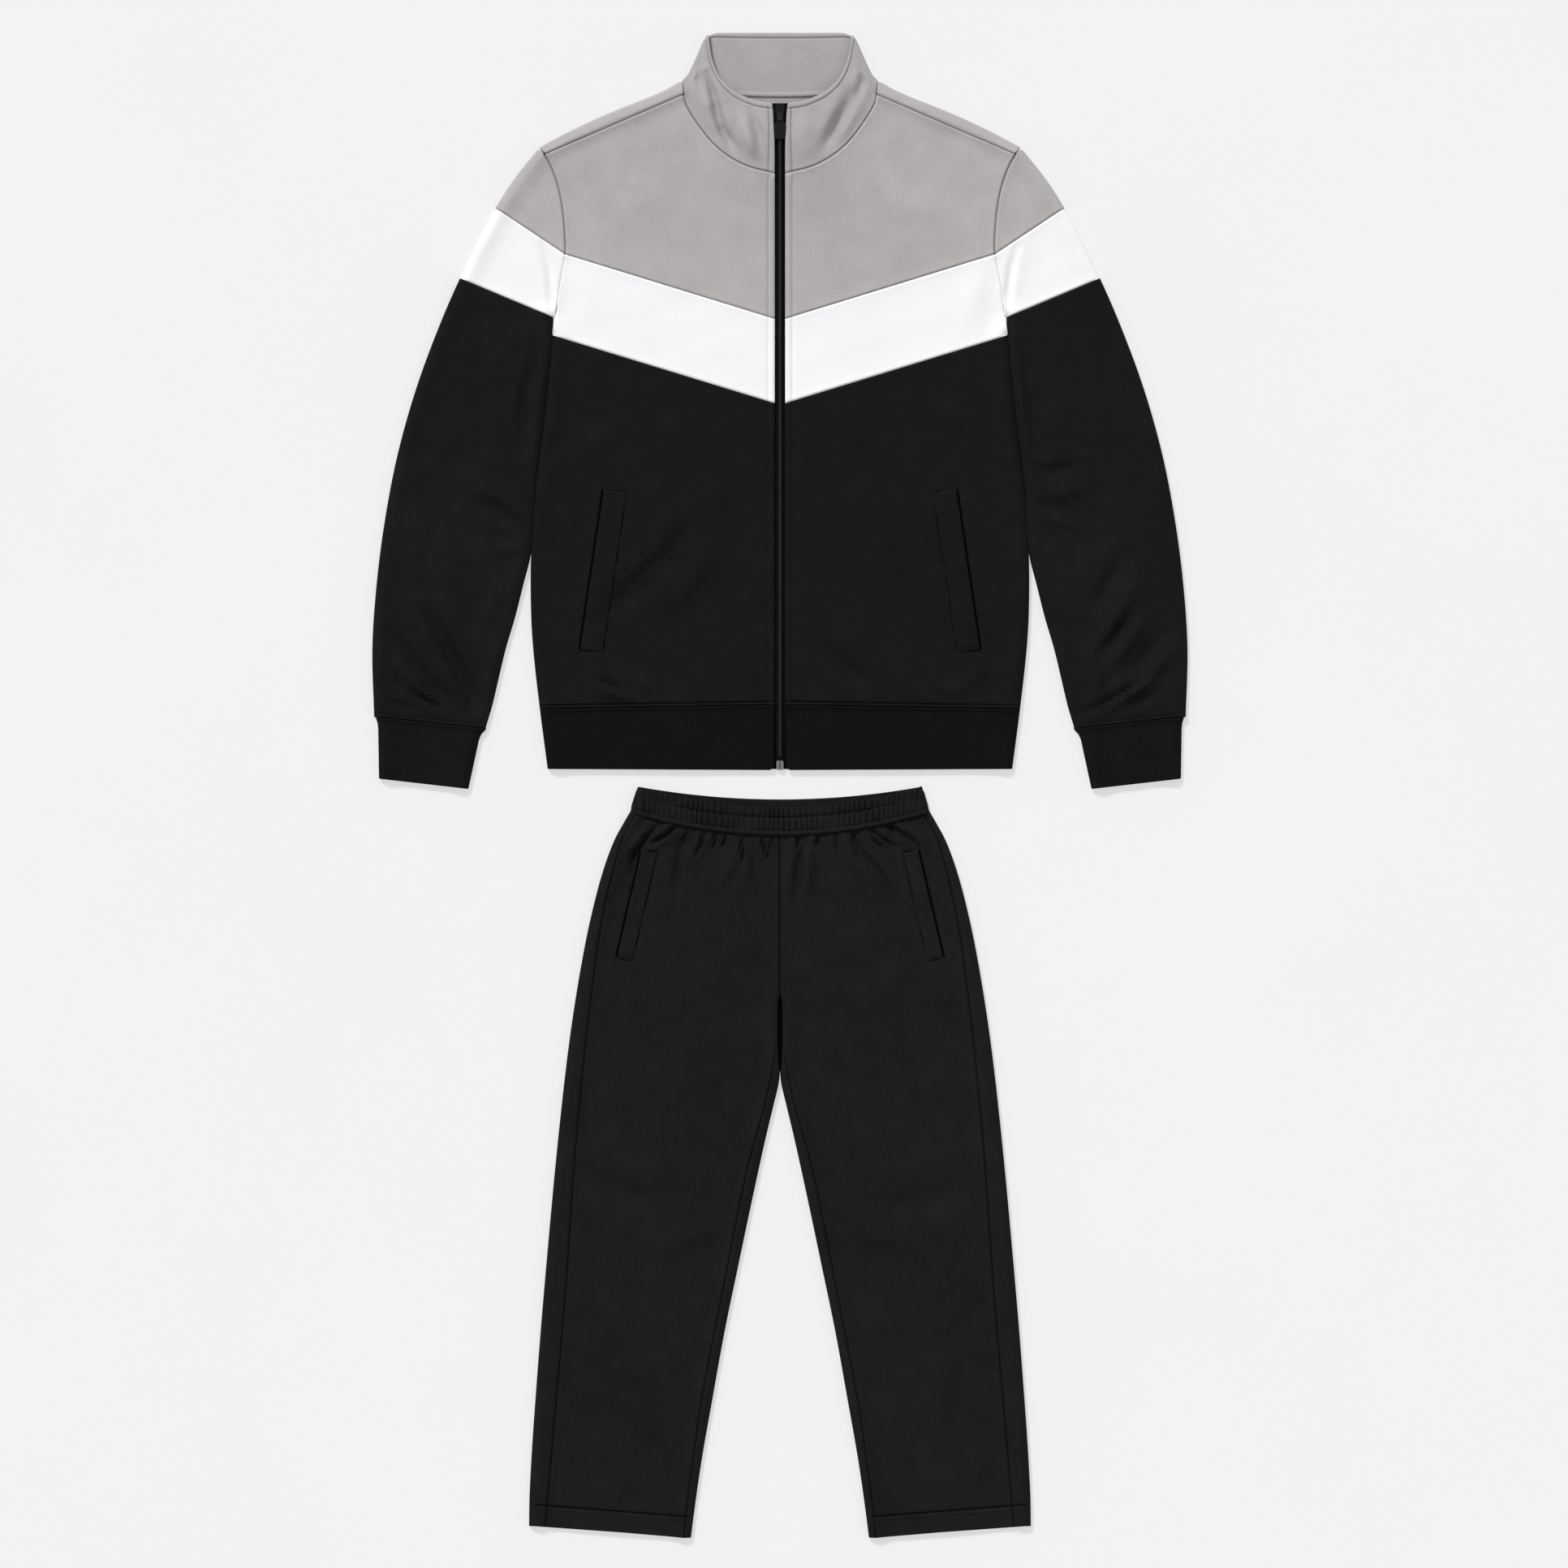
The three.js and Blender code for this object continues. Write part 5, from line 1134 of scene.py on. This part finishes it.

# %% [markdown]
# Zip: two tapes with a closed coil under their inner edges. Seen from the front such a coil is a
# smooth ridge with fine dashes where its loops lock. Each loop is one short rod across the middle,
# in plastic lighter than the tape: partly its own colour, partly painted highlight.
# Stitches and the small hard parts of the zip are such rods too.

# %% Small rods for coil loops and stitches
def rods(name, centres, ways, length, radius, material, slot, sides=5):
    """One mesh of many short rods with round ends, along the given directions or the given one."""
    centres = np.array(centres, float)
    ways = np.broadcast_to(np.array(ways, float), centres.shape)
    ways = ways / np.linalg.norm(ways, axis=1)[:, None]
    across = np.cross([0.0, 0.0, 1.0], ways)
    across /= np.linalg.norm(across, axis=1)[:, None]
    up = np.cross(ways, across)
    angles = np.arange(sides) * 2 * np.pi / sides
    rings = [(-0.5, 0.35), (-0.36, 1.0), (0.36, 1.0), (0.5, 0.35)]
    points = np.stack([
        centres + ways * t * length + (across * math.cos(a) + up * math.sin(a)) * radius * part
        for t, part in rings for a in angles
    ], axis=1)
    one = []
    for ring in range(len(rings) - 1):
        for k in range(sides):
            a, b = ring * sides + k, ring * sides + (k + 1) % sides
            one += [[a, b, b + sides], [a, b + sides, a + sides]]
    for k in range(1, sides - 1):
        last = (len(rings) - 1) * sides
        one += [[0, k + 1, k], [last, last + k, last + k + 1]]
    count = points.shape[1]
    faces = (np.array(one)[None] + (np.arange(len(centres)) * count)[:, None, None]).reshape(-1, 3)
    print(f"{name}: {len(centres)} rods, {len(faces)} triangles")
    make_piece(name, points.reshape(-1, 3), faces, material, sharp=80)


# %% Zip tapes, coil and coil loops
COIL_RISE, TAPE_THICK, COIL_EDGE = 1.3, 1.6, 3.2
COIL_COLUMNS = [0.12, 0.22, 0.4, 0.7, 1.1, 1.6, 2.1, 2.5, 2.75, 2.95, COIL_EDGE]
LOOP_PITCH, LOOP_LONG, LOOP_RADIUS, LOOP_ASIDE = 1.5, 3.0, 0.36, 0.28


def zip_z(y):
    """Height of the zip, which follows the fronts and then the collar's edges."""
    at_neck = FLAT_TOP + neck_lift(0.0, NECK)
    flat = FLAT_TOP + neck_lift(0 * y, y)
    up = at_neck + (MOUTH_Z - at_neck) * (y - NECK) / (MOUTH - NECK)
    return np.where(y <= NECK, flat, up) + creased(0 * y, y) * smoothstep(NECK - y, -40, 40)


def zip_tape(side):
    y = np.linspace(25.8, 696.6, 260)
    outer = zip_half(y) - LAYER_GAP
    beside = lerp(COIL_EDGE, outer[:, None], np.linspace(0, 1, 9)[1:][None])
    x = np.concatenate([np.tile(COIL_COLUMNS, (len(y), 1)), beside], axis=1)
    lobe = 0.5 + 0.5 * hump(x, 0.5, at=2.1)
    ridge = np.clip(1 - ((x - 1.5) / 1.4) ** 2, 0, 1) ** 0.45 * COIL_RISE * lobe
    sunk = smoothstep(x, 2.95, COIL_EDGE) * smoothstep(outer[:, None] - x, 0, 0.3)
    plan = pairs(x, y[:, None])
    return [packed(plan, zip_z(y)[:, None] - LAYER_GAP, side, ridge - 1.2 * sunk)]


for name, side in SIDES:
    add_cloth(
        f"zip_tape_{name}", zip_tape(side), TAPE, "zip_tape", low=-TAPE_THICK, cut=(16, 671), waves=1.25,
    )
loop_y = np.arange(30.0, 676.0, LOOP_PITCH)
loop_x = LOOP_ASIDE * (-1.0) ** np.arange(len(loop_y))
loop_at = np.stack([loop_x, loop_y, zip_z(loop_y) + 0.55 * COIL_RISE - LAYER_GAP], axis=1)
rods("zip_coil_loops", loop_at, (1.0, 0.22, 0.0), LOOP_LONG, LOOP_RADIUS, COIL_AND_HIGHLIGHT, "zip_tape")


# %% [markdown]
# Pocket welts lie on the panels, so they are made from the panel's own points, moved out. The
# pocket opens along the outer side, where a dark strip of painted shade stands for the opening, and
# bars of stitches close its ends.

# %% Welts and pocket slots
WELT_THICK = 0.9
# Near-black for painted shade, where a gap lies in deep shadow: pocket openings, the crotch and the zip's
# end.
GAP_SHADE = hard("pocket slot shade", (0.0018, 0.0018, 0.0018), 0.95, gloss=0.0)


def unit(way):
    return way / np.hypot(*way)


def patch(corners, across, down, side, folds):
    """A grid over a four-cornered patch of a panel: top inner, top outer, low outer, low inner."""
    a, b, c, d = corners
    u, v = across[None, :, None], down[:, None, None]
    return upper(lerp(lerp(a, b, u), lerp(d, c, u), v), side, folds, channels=False)


def welt(corners, side, folds):
    edge = np.array([0, 0.02, 0.05, 0.1, 0.17])
    across = np.concatenate([edge, np.linspace(0.26, 0.74, 7), 1 - edge[::-1]])
    down = np.concatenate([edge / 6, np.linspace(0.04, 0.96, 48), 1 - edge[::-1] / 6])
    grid = patch(corners, across, down, side, folds)
    soft = smoothstep(np.minimum(across, 1 - across), 0, 0.12)[None]
    soft = np.minimum(soft, smoothstep(np.minimum(down, 1 - down), 0, 0.02)[:, None])
    grid[..., RISE] += -0.55 * (1 - soft) + 0.15 * np.sin(down * 17 + side)[:, None] * soft
    return [grid]


def dark_strip(name, grid, high):
    """A thin strip on the cloth that shows as a gap in deep shadow."""
    points, faces, _ = wall([grid], low=0.05, high=high)
    make_piece(name, points, faces, GAP_SHADE)


def pocket_gap_shade(corners, side, folds):
    """A narrow strip of painted shade just outside the welt's outer edge."""
    a, b, c, _ = corners
    out = unit(b - a)
    strip = [b - out, b + 2.2 * out, c + 2.2 * out, c - out]
    return patch(strip, np.linspace(0, 1, 6), np.linspace(0, 1, 40), side, folds)


for name, side in SIDES:
    for node, corners, folds, slot, material in (
        ("jacket_pocket_welt", JACKET_WELT, BODY_FOLDS, "black_knit", BLACK),
        ("trouser_pocket_welt", TROUSER_WELT, LEG_FOLDS, "trouser_knit", TROUSER),
    ):
        add_cloth(
            f"{node}_{name}", welt(corners, side, folds), material, slot,
            low=LAYER_GAP, high=LAYER_GAP + WELT_THICK,
        )
        dark_strip(f"{node}_gap_shade_{name}", pocket_gap_shade(corners, side, folds), 0.32)


# %% [markdown]
# Trousers. Each leg has a front panel and a back panel, and the back comes round both folds to
# seams that show just inside them. The front is gathered into the waistband, so small uneven waves
# fade out below the seam, and the longer folds come from the table of creases.

# %% Trouser fronts and backs
GATHER_WAVES, GATHER_RISE, CENTRE_LAP = 20, 1.6, -0.04
# Heights of the rows at the inner line, close together at the waist, the crotch, the hem's
# stitches and the free edge, then their heights at the outer line
Y_IN = np.concatenate([
    -50.5 - np.array([0, 0.5, 1.1, 1.8, 2.8, 4]),
    np.arange(-56.5, -120, -2.1), np.linspace(-122, -212, 26),
    [CENTRE_END, -216, CROTCH, -219.5, -221.5], np.linspace(-224.5, -741, 143),
    -748.2 - np.array([-4.4, -2.9, -1.8, -1, -0.4, 0.2, 0.8, 1.4, 2.2, 3.2, 4.6, 7, 10, 13]),
    TROUSER_END + EDGE_STEPS[:-1][::-1],
])
Y_OUT = np.interp(-Y_IN, -LEG_ROWS[:, 0], LEG_ROWS[:, 1])
DEPTH, HEM_FAR = FRONT_SEAM[0] - Y_IN, Y_IN - TROUSER_END


def bowed(plan, start, end):
    """Rows that curve like the waist seam near it, and how far along its row each point is."""
    part = np.hypot(*(plan - start[:, None]).transpose(2, 0, 1)) / np.hypot(*(end - start).T)[:, None]
    fade = 1 - smoothstep(DEPTH, 0, 70)
    plan[..., 1] += (end - start)[:, 1:2] * (part * part - part) * fade[:, None]
    return plan, part


def inner_x(table):
    """X of a leg's inner line: at the centre seam above the crotch, then along its table."""
    below = along(table, Y_IN)
    above = lerp(CENTRE_LAP, along(table, CROTCH), (CENTRE_END - Y_IN) / (CENTRE_END - CROTCH))
    return np.where(Y_IN >= CENTRE_END, CENTRE_LAP, np.where(Y_IN > CROTCH, above, below))


def leg_front(side):
    start, end = pairs(inner_x(SEAM_INNER), Y_IN), at_height(SEAM_OUTER, Y_OUT)
    ends = np.concatenate([[0.0], AT_SEAM[1:]])
    plan, part = bowed(rows_between(start, end, 48, ends, ends), start, end)
    phase = GATHER_WAVES * (part + 0.012 * np.sin(part * 37 + side))
    wave = np.abs(np.sin(np.pi * phase)) ** 0.7
    uneven = 0.65 + 0.35 * np.sin(part * 29 + side * 2)
    rise = GATHER_RISE * wave * uneven * (1 - smoothstep(DEPTH, 3, 17))[:, None]
    grid = upper(plan, side, LEG_FOLDS, rise=rise)
    grid[:, [0, -1], PLUMB] = 1
    return [rounded_edge(grid, HEM_FAR, CLOTH)]


WRAP = np.array([0.015, 0.04, 0.08, 0.14, 0.22, 0.32, 0.45, 0.6, 0.75, 0.87, 0.95, 1])
NARROW = 9.0


def wrap_over(at, seam_x, y, side):
    """From a fold inward over the upper side to the seam, thinner where the strip is narrow."""
    x = lerp(at[:, None], seam_x[:, None], WRAP[None])
    grid = upper(pairs(x, y[:, None]), side, LEG_FOLDS)
    grid[..., SHARE] = np.clip(np.abs(seam_x - at) / NARROW, 0.05, 1)[:, None]
    grid[:, -1, PLUMB] = 1
    return grid


def leg_back(side):
    lift = np.where(Y_IN > -60, BACK_SEAM[0] - FRONT_SEAM[0], 0) * (1 - smoothstep(DEPTH, 0, 20))
    start, end = pairs(inner_x(LEG_INNER), Y_IN + lift), at_height(LEG_OUTER, Y_OUT)
    plan, _ = bowed(rows_between(start, end, 16, ON_ROLL, ON_ROLL), start, end)
    crotch = Y_IN <= CROTCH
    share = np.clip(lerp(0.25, 1, (CROTCH - Y_IN) / 22), 0.25, 1)
    first = np.where(crotch[:, None], fold(start, side, share), lower(start, side, LEG_FOLDS))
    over = wrap_over(end[:, 0], along(SEAM_OUTER, Y_OUT) + SEAM + SEAM_SIDE, Y_OUT, side)
    under = lower(plan, side, LEG_FOLDS)
    grid = np.concatenate([first[:, None], under, fold(end, side)[:, None], over], axis=1)
    low, at = Y_IN[crotch], start[crotch]
    inside = wrap_over(at[:, 0], along(SEAM_INNER, low) - SEAM - SEAM_SIDE, low, side)[:, ::-1]
    inside[0] = first[crotch][0]
    inside = np.concatenate([inside, first[crotch][:, None]], axis=1)
    return [rounded_edge(grid, HEM_FAR, CLOTH), rounded_edge(inside, HEM_FAR[crotch], CLOTH)]


for name, side in SIDES:
    add_cloth(f"trouser_front_{name}", leg_front(side), TROUSER, "trouser_knit")
    add_cloth(f"trouser_back_{name}", leg_back(side), TROUSER, "trouser_knit", facing="down", cut=(262, 762))


# %% [markdown]
# Under the centre seam the two legs press together, and the gap between them is in deep shadow. It
# is a dark strip that dips into the valley there.

# %% Crotch
def crotch_gap():
    y = np.linspace(CENTRE_END, -291, 60)
    half = np.interp(-y, [214, 222, 262, 276, 286, 291], [0.5, 2.6, 2.7, 2.1, 1.3, 1.2])
    plan = pairs(half[:, None] * np.linspace(0.04, 1, 5)[None], y[:, None])
    left, right = (upper(plan, side, LEG_FOLDS) for _, side in SIDES)
    return np.concatenate([left[:, ::-1], right], axis=1)


dark_strip("trouser_crotch_strip", crotch_gap(), 0.35)

# %% [markdown]
# The waistband is a tube of cloth gathered over elastic. A line of stitching holds the elastic a
# third below the top, so the gathers pinch there and swell above and below. They are uneven, as
# elastic makes them, and the band's lower edge is a thin piping where it is sewn to the trousers.

# %% Waistband
WAVES, WAVE_RISE, PINCH, PIPING = 52, 4.2, 0.62, 0.05
FLAT_PART = 0.975
WAIST_SEAM_STEPS = np.array([0, 0.3, 0.7, 1.2, 1.8, 2.4, 3.2])


def gather_wave(x, row):
    """Height of the gathers at X, a little different above and below the channel."""
    phase = x / WAIST_HALF * WAVES / 2 + 0.28 * np.sin(x / 17.0)
    phase = phase + 0.2 * np.sin(x / 6.3 + 1.3) + 0.25 * row * np.sin(x / 11.0)
    tall = 0.62 + 0.24 * np.sin(x / 13.0 + 0.7 + row) + 0.14 * np.sin(x / 4.7 + 2 * row)
    return WAVE_RISE * tall * np.abs(np.sin(np.pi * phase)) ** 0.65


def waist_half(v, side):
    level, half = v[:, None], lerp(WAIST_HALF, WAIST_TOP_HALF, v)[:, None]
    x = np.concatenate([np.linspace(0, FLAT_PART, 200) * half, half - ON_ROLL[::-1]], axis=1)
    part = (x / half) ** 2
    front_y = lerp(lerp(*FRONT_SEAM, part) + SEAM, lerp(*FRONT_TOP, part), level)
    above = smoothstep(level, PINCH - 0.1, PINCH + 0.1)
    wave = lerp(gather_wave(side * x, 0.0), gather_wave(side * x, 1.0), above)
    pinch, piping = hump(level, 0.055, at=PINCH), hump(level, 0.036, at=PIPING)
    swell = 0.9 * np.sin(np.pi * np.clip(level / PINCH, 0, 1))
    swell = swell + 0.5 * np.sin(np.pi * np.clip((level - PINCH) / (1 - PINCH), 0, 1))
    near_fold = smoothstep(half - x, 0.5, 6)
    pinch = pinch * smoothstep(half - x, 12, 60)
    under = smoothstep(level, PIPING, 0.2)
    rise = (wave * (1 - 0.4 * pinch) * under - 0.9 * pinch + 3.2 * piping + swell) * near_fold
    rise = rise + 0.3 * wave * under * (1 - near_fold)
    front_y = front_y + 0.25 * (wave - 1.4) * smoothstep(level, 0.9, 1)
    front = upper(pairs(x, front_y), side, WAIST_FOLDS, WAIST_TOP, rise)
    back_x = np.concatenate([half - ON_ROLL, np.linspace(FLAT_PART, 0, 40) * half], axis=1)
    part = (back_x / half) ** 2
    back_y = lerp(lerp(*BACK_SEAM, part) + SEAM, lerp(*BACK_TOP_EDGE, part), level)
    back = lower(pairs(back_x, back_y), side, WAIST_FOLDS)
    edge = fold(pairs(half, lerp(FRONT_SEAM[1] + SEAM, FRONT_TOP[1], level)), side)
    return np.concatenate([front, edge, back], axis=1)


def waistband():
    v = levels(WAIST_WIDE, 22, WAIST_SEAM_STEPS, EDGE_STEPS)
    right, left = waist_half(v, 1), waist_half(v, -1)
    ring = np.concatenate([right, left[:, ::-1][:, 1:]], axis=1)
    return [rounded_edge(ring, (1 - v) * WAIST_WIDE, WAIST_CLOTH)]


add_cloth(
    "trouser_waistband", waistband(), WAIST, "trouser_waist",
    low=-WAIST_CLOTH, cut=(800, 29),
)


# %% [markdown]
# Stitches. Each line of topstitching is a row of short threads lying on the cloth, so it follows
# every crease. A stitch is 2.4 mm long with 0.8 mm between, as on real sportswear. Seams get
# dark, thicker rods without gaps, painted shade that draws the shadow in their valleys.

# %% Lines of stitches
STITCH, STITCH_GAP = 2.4, 0.8
TOPSTITCH, SEAM_SHADE_ROD = (STITCH, 0.24), (3.6, 0.36)
WHITE_LOW, WHITE_HIGH = 392.7, 479.2
# Each line's thread for topstitching and painted shade for seams, its points on the right half and the folds
# of its panel
SEWN_LINES = [
    ("black_topstitching", [(ZIP_STITCH, 88), (ZIP_STITCH, WHITE_LOW)], BODY_FOLDS),
    ("white_topstitching", [(ZIP_STITCH, WHITE_LOW), (ZIP_STITCH, WHITE_HIGH)], BODY_FOLDS),
    ("grey_topstitching", [(ZIP_STITCH, WHITE_HIGH), (ZIP_STITCH, 625)], BODY_FOLDS),
    ("trouser_topstitching", [(252.0, -731.6), (93.5, -744.0)], LEG_FOLDS),
    ("jacket_seam_painted_shade", [(5.5, HEM_SEAM_ZIP), (245.6, HEM_SEAM_SIDE)], BODY_FOLDS),
    ("jacket_seam_painted_shade", [(13, 85.4), (245.6, 81.3)], BODY_FOLDS),
    ("jacket_seam_painted_shade", [(305, 62.0), (411, 73.3)], SLEEVE_FOLDS),
    ("jacket_seam_painted_shade", CUFF_TOP, SLEEVE_FOLDS),
    ("trouser_seam_painted_shade", upright(SEAM_OUTER, -31, -758), LEG_FOLDS),
    ("trouser_seam_painted_shade", upright(SEAM_INNER, -277, -769), LEG_FOLDS),
    ("trouser_seam_painted_shade", [(0, -52), (0, CENTRE_END)], LEG_FOLDS),
    ("trouser_seam_painted_shade", [(252, -735.8), (93.5, -748.2)], LEG_FOLDS),
    ("grey_seam_painted_shade", NECK_SEAM[:-2], BODY_FOLDS),
    ("grey_seam_painted_shade", [SEAM_NECK, SEAM_ARM], BODY_FOLDS),
    ("grey_seam_painted_shade", upright(ARMHOLE, 645, 544), BODY_FOLDS),
    ("grey_seam_painted_shade", [(5.5, GREY_ZIP), (219.6, GREY_SIDE), (291, 590.5)], BODY_FOLDS),
    ("white_seam_painted_shade", upright(ARMHOLE, 542, 462), BODY_FOLDS),
]
# The seam entries here are painted shade in dark rods, the others are real thread.
THREADS_AND_SEAM_SHADES = {
    "jacket_seam_painted_shade": (BLACK_SEAM_SHADE, "black_knit", SEAM_SHADE_ROD),
    "trouser_seam_painted_shade": (BLACK_SEAM_SHADE, "trouser_knit", SEAM_SHADE_ROD),
    "grey_seam_painted_shade": (GREY_SEAM_SHADE, "grey_knit", SEAM_SHADE_ROD),
    "white_seam_painted_shade": (WHITE_SEAM_SHADE, "white_knit", SEAM_SHADE_ROD),
    "black_topstitching": (BLACK_THREAD, "black_knit", TOPSTITCH),
    "white_topstitching": (WHITE_THREAD, "white_knit", TOPSTITCH),
    "grey_topstitching": (GREY_THREAD, "grey_knit", TOPSTITCH),
    "collar_topstitching": (GREY_THREAD, "grey_collar", TOPSTITCH),
    "trouser_topstitching": (BLACK_THREAD, "trouser_knit", TOPSTITCH),
}


def distances(points):
    """How far along a line each of its points is."""
    return np.concatenate([[0], np.cumsum(np.linalg.norm(np.diff(points, axis=0), axis=1))])


def points_at(at, far, points):
    return np.stack([np.interp(at, far, column) for column in points.T], axis=1)


def resampled(points, spacing):
    far = distances(points)
    at = np.arange(spacing / 2, far[-1], spacing)
    made = points_at(at, far, points)
    return made, points_at(at + 0.5, far, points) - made


def on_panel(line, side, folds, lift=0.12):
    """A line drawn on the upper layer, with points every two millimetres."""
    line = np.array(line, float)
    far = distances(line)
    at = np.linspace(0, far[-1], int(far[-1] / 2) + 2)
    points = upper(points_at(at, far, line), side, folds)[:, :3]
    return points + (0, 0, lift)


def sew(name, lines, material, slot, length, radius):
    made = [resampled(line, STITCH + STITCH_GAP) for line in lines]
    centres, ways = (np.concatenate(parts) for parts in zip(*made))
    keep = np.linalg.norm(ways, axis=1) > 0.2
    rods(name, centres[keep], ways[keep], length, radius, material, slot)


def welt_bars(corners):
    """Two bars of stitches across each end of a welt, and a line along its outer edge."""
    a, b, c, d = corners
    across, down = unit(b - a), unit(d - a)
    for t, end in ((1.2, a), (3.6, a), (-1.2, d), (-3.6, d)):
        yield [end - 2.2 * across + t * down, end + (b - a) + t * down], 1.35
    yield [b - 1.2 * across, c - 1.2 * across], 1.3


def welt_outline(corners):
    """Painted shade in dark rods round the other three edges of a welt."""
    a, b, c, d = corners
    across, down = unit(b - a), unit(d - a)
    for start, end, move in ((a, d, -0.5 * across), (a, b, -0.5 * down), (d, c, 0.5 * down)):
        yield [start + move, end + move], 0.3


sewn = {name: [] for name in THREADS_AND_SEAM_SHADES}
for _, side in SIDES:
    for name, line, folds in SEWN_LINES:
        sewn[name].append(on_panel(line, side, folds))
    rim_rows = collar_half(np.linspace(0.02, 0.925, 30), side)[..., :3] + (0, 0, 0.15)
    sewn["collar_topstitching"] += [rim_rows[-1, 8:64], rim_rows[:, 8]]
    for corners, folds, bars, outline in (
        (JACKET_WELT, BODY_FOLDS, "black_topstitching", "jacket_seam_painted_shade"),
        (TROUSER_WELT, LEG_FOLDS, "trouser_topstitching", "trouser_seam_painted_shade"),
    ):
        for name, lines in ((bars, welt_bars(corners)), (outline, welt_outline(corners))):
            sewn[name] += [on_panel(line, side, folds, lift) for line, lift in lines]
for name, (material, slot, size) in THREADS_AND_SEAM_SHADES.items():
    sew(name, sewn[name], material, slot, *size)

# %% [markdown]
# Slider, pull and bottom box keep their CAD solids, whose shapes are the real ones. A small bevel
# takes the sharpness off their edges so that they catch the light, and they get real finishes.

# %% Finish of the hard parts
for node, material, width in (
    ("zip_slider", PULL, 0.35), ("zip_pull_tab", PULL, 0.4), ("zip_bottom_box", METAL, 0.35),
):
    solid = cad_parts[node]
    solid.data.materials.clear()
    solid.data.materials.append(material)
    bevel = solid.modifiers.new("soft edges", "BEVEL")
    bevel.width, bevel.segments, bevel.limit_method = width * MM, 3, "ANGLE"
    print(node, "keeps its solid")


def highest(node):
    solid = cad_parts[node]
    return max((solid.matrix_world @ vertex.co).z for vertex in solid.data.vertices) / MM


ALONG_ZIP = (0.0, 1.0, 0.0)
box_top, crown_z = highest("zip_bottom_box"), highest("zip_slider") - 0.1
pin_at = [(x, 27.0, box_top - 1.5) for x in (-1.7, 1.7)]
highlight_at = [(x, 682.6, crown_z) for x in (-1.2, 1.2)]
rods("zip_end_pins", pin_at, ALONG_ZIP, 3.2, 1.3, METAL, "zip_metal", sides=14)
# The near-black rod along the bottom box is painted shade in the split between its halves.
rods("zip_end_split_shade", [(0, 20.4, box_top)], ALONG_ZIP, 7.0, 0.35, GAP_SHADE, "zip_metal", sides=8)
# Two thin light rods on the slider's crown are painted highlights along its edges.
rods("zip_slider_painted_highlights", highlight_at, ALONG_ZIP, 7.6, 0.22, SLIDER_HIGHLIGHT, "zip_pull", sides=8)

# %% [markdown]
# The studio: a pale floor, soft light from a wide sun above the left shoulder, weaker ones from
# the other sides, and an even pale surround. The camera looks straight down from far away with a
# long lens, as in a catalogue picture, and its view is as wide as the picture.

# %% Floor, light and camera
FRAME_WIDE, CAMERA_HIGH, SENSOR = 1.6036, 12.0, 36.0
FLOOR_HALF, FLOOR_Z, FLOOR_GLOW, SURROUND = 30.0, -0.0004, 0.56, 0.415


def floor():
    recipe = Recipe("pale floor")
    tone = recipe.noise(recipe.place(), 3.0, 2.0)
    base = recipe.mix(tone, (0.3, 0.3, 0.3, 1), (0.31, 0.31, 0.31, 1))
    mesh = bpy.data.meshes.new("floor")
    corners = [(x * FLOOR_HALF, y * FLOOR_HALF, FLOOR_Z) for x, y in ((-1, -1), (1, -1), (1, 1), (-1, 1))]
    mesh.from_pydata(corners, [], [(0, 1, 2, 3)])
    mesh.materials.append(recipe.finish(
        Base_Color=base, Roughness=0.9, Emission_Color=(1, 1, 1, 1), Emission_Strength=FLOOR_GLOW,
    ))
    linked("floor", mesh)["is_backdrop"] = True


def sun(name, strength, angle, x, y, z):
    """A sun that shines from the direction x, y, z and looks this many degrees wide."""
    light = bpy.data.lights.new(name, "SUN")
    light.energy, light.angle = strength, math.radians(angle)
    linked(name, light).rotation_euler = (math.atan2(math.hypot(x, y), z), 0, math.atan2(x, -y))


floor()
sun("key", 2.6, 12, -0.45, 0.8, 0.75)
sun("fill", 0.25, 60, 0.9, -0.2, 0.8)
sun("left side", 0.25, 50, -1.0, -0.1, 0.3)
sun("right side", 0.25, 50, 1.0, -0.1, 0.3)
world = bpy.data.worlds.new("studio")
world.use_nodes = True
surround = world.node_tree.nodes["Background"]
surround.inputs["Color"].default_value = (1, 1, 1, 1)
surround.inputs["Strength"].default_value = SURROUND
bpy.context.scene.world = world
bpy.context.scene.view_settings.view_transform = "Standard"

camera = bpy.data.cameras.new("camera")
camera.sensor_width = SENSOR
camera.lens = SENSOR * CAMERA_HIGH / FRAME_WIDE
camera.clip_end = 100
eye = linked("camera", camera)
eye.location = (0.00415, 0.00125, CAMERA_HIGH)
bpy.context.scene.camera = eye

# %% Sizes, then the last line
triangles = sum(len(o.data.polygons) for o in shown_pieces() if o.type == "MESH")
print("triangles in all:", triangles)
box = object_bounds()
[[list(corner) for corner in pair] for pair in (CAD_BOX, box)]
